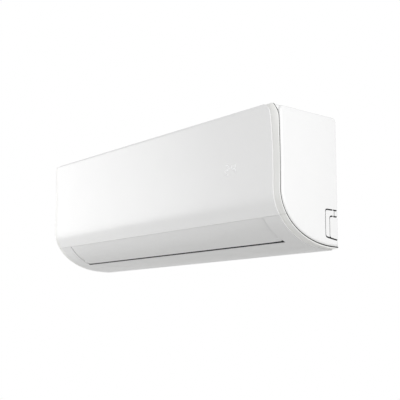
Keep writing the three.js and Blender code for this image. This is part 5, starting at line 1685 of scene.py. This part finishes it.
def fan_ring(from_x, to_x, inner):
    ring = rod("ring", FAN_RADIUS, -FAN_DEPTH, FAN_HEIGHT, from_x, to_x, FAN_STEPS)
    hole = rod("hole", inner, -FAN_DEPTH, FAN_HEIGHT, from_x - CUT_OVER, to_x + CUT_OVER, FAN_STEPS)
    return boolean(ring, hole, "DIFFERENCE")


def cross_flow_fan():
    parts = [fan_blades()]
    for ring in range(1, FAN_BAYS):
        middle = FAN_LEFT + (FAN_RIGHT - FAN_LEFT) * ring / FAN_BAYS
        parts.append(fan_ring(middle - FAN_RING / 2, middle + FAN_RING / 2, FAN_INNER - FAN_DISC))
    for start in (FAN_LEFT, FAN_RIGHT - FAN_DISC):
        parts.append(fan_ring(start, start + FAN_DISC, FAN_BORE))
    for start in (FAN_LEFT, FAN_RIGHT - FAN_HUB_LENGTH):
        hub = rod("hub", FAN_HUB, -FAN_DEPTH, FAN_HEIGHT, start, start + FAN_HUB_LENGTH)
        hole = rod("hole", FAN_BORE, -FAN_DEPTH, FAN_HEIGHT, FAN_LEFT - CUT_OVER, FAN_RIGHT + CUT_OVER)
        parts.append(boolean(hub, hole, "DIFFERENCE"))
    return joined("fan_rotor", parts)


dress(cross_flow_fan(), fan_plastic, "fan", "cross_flow_fan")


# Stage, light and camera, with places and sizes in metres

FLOOR_DROP = 2.2  # the unit hangs high on a wall
FLOOR_SIZE = 14.0
WORLD_LIGHT = 0.56
SOFT_BOXES = {  # watts, and the side of the square box
    "front_left": {"place": (-1.8, -1.1, 0.2), "aim": (-0.3, -0.1, 0), "side": 1.2, "power": 11},
    "low_left": {"place": (-1.4, -0.6, -1.0), "aim": (-0.3, -0.1, -0.1), "side": 1.2, "power": 3.5},
    "right_side": {"place": (2.2, -0.7, 0.2), "aim": (0.4, -0.1, 0), "side": 0.8, "power": 20},
}
VIEW_AZIMUTH_DEG = 49.74
VIEW_ELEVATION_DEG = -9.78
VIEW_ROLL_DEG = 0.44
VIEW_TARGET = Vector((0.1035, -0.1, -0.0055))
VIEW_DISTANCE = 1.831
LENS_MM = 71.4
SENSOR_MM = 36.0


def backdrop_material():
    """Matt card: out of the main view, and an even light grey where a view from above shows it."""
    material, tree = new_material("matt_white_card")
    card = add_node(
        tree, "ShaderNodeBsdfDiffuse", {"Color": srgb("#f6f6f5"), "Roughness": 1.0},
    )
    return finished(material, card)


def floor():
    level, half = -FLOOR_DROP, FLOOR_SIZE / 2
    mesh = bpy.data.meshes.new("floor")
    corners = [(-half, -half, level), (half, -half, level), (half, half, level), (-half, half, level)]
    mesh.from_pydata(corners, [], [(0, 1, 2, 3)])
    mesh.materials.append(backdrop_material())
    new_object("floor", mesh)


def white_world(ambient):
    """Seen directly or in a reflection the world is white; what it adds as light is set apart."""
    world = bpy.data.worlds.new("studio")
    bpy.context.scene.world = world
    world.use_nodes = True
    tree = world.node_tree
    tree.nodes.clear()
    path = add_node(tree, "ShaderNodeLightPath")
    seen = path.outputs["Is Camera Ray"]
    for ray in ("Is Glossy Ray", "Is Transmission Ray"):
        seen = add_node(
            tree, "ShaderNodeMath", {"operation": "MAXIMUM"}, {0: seen, 1: path.outputs[ray]},
        ).outputs[0]
    strength = add_node(
        tree, "ShaderNodeMapRange", {"To Min": ambient, "To Max": 1.0}, {"Value": seen},
    )
    background = add_node(
        tree, "ShaderNodeBackground", {"Color": srgb("#ffffff")},
        {"Strength": strength.outputs["Result"]},
    )
    add_node(tree, "ShaderNodeOutputWorld", links={"Surface": background.outputs[0]})


def soft_box(name, place, aim, side, power):
    """A studio soft box, turned towards the point that it lights."""
    lamp = bpy.data.lights.new(name, "AREA")
    lamp.shape = "RECTANGLE"
    lamp.size = side
    lamp.size_y = side
    lamp.energy = power
    thing = new_object(name, lamp)
    thing.location = place
    thing.rotation_euler = (Vector(aim) - Vector(place)).to_track_quat("-Z", "Y").to_euler()


def camera():
    """The photograph's viewpoint, fitted to the unit's edges."""
    angles = (VIEW_AZIMUTH_DEG, VIEW_ELEVATION_DEG, VIEW_ROLL_DEG)
    azimuth, elevation, roll = (math.radians(angle) for angle in angles)
    back = Vector((
        math.sin(azimuth) * math.cos(elevation),
        -math.cos(azimuth) * math.cos(elevation),
        math.sin(elevation),
    ))
    right = (-back).cross(Vector((0, 0, 1))).normalized()
    up = right.cross(-back)
    across = right * math.cos(roll) + up * math.sin(roll)
    upward = up * math.cos(roll) - right * math.sin(roll)
    lens = bpy.data.cameras.new("viewpoint")
    lens.lens = LENS_MM
    lens.sensor_width = SENSOR_MM
    thing = new_object("viewpoint", lens)
    turn = Matrix((across, upward, back)).transposed().to_4x4()
    thing.matrix_world = Matrix.Translation(VIEW_TARGET + back * VIEW_DISTANCE) @ turn
    bpy.context.scene.camera = thing


floor()
white_world(WORLD_LIGHT)
for name, box in SOFT_BOXES.items():
    soft_box(name, **box)
bpy.context.scene.view_settings.view_transform = "Standard"
camera()
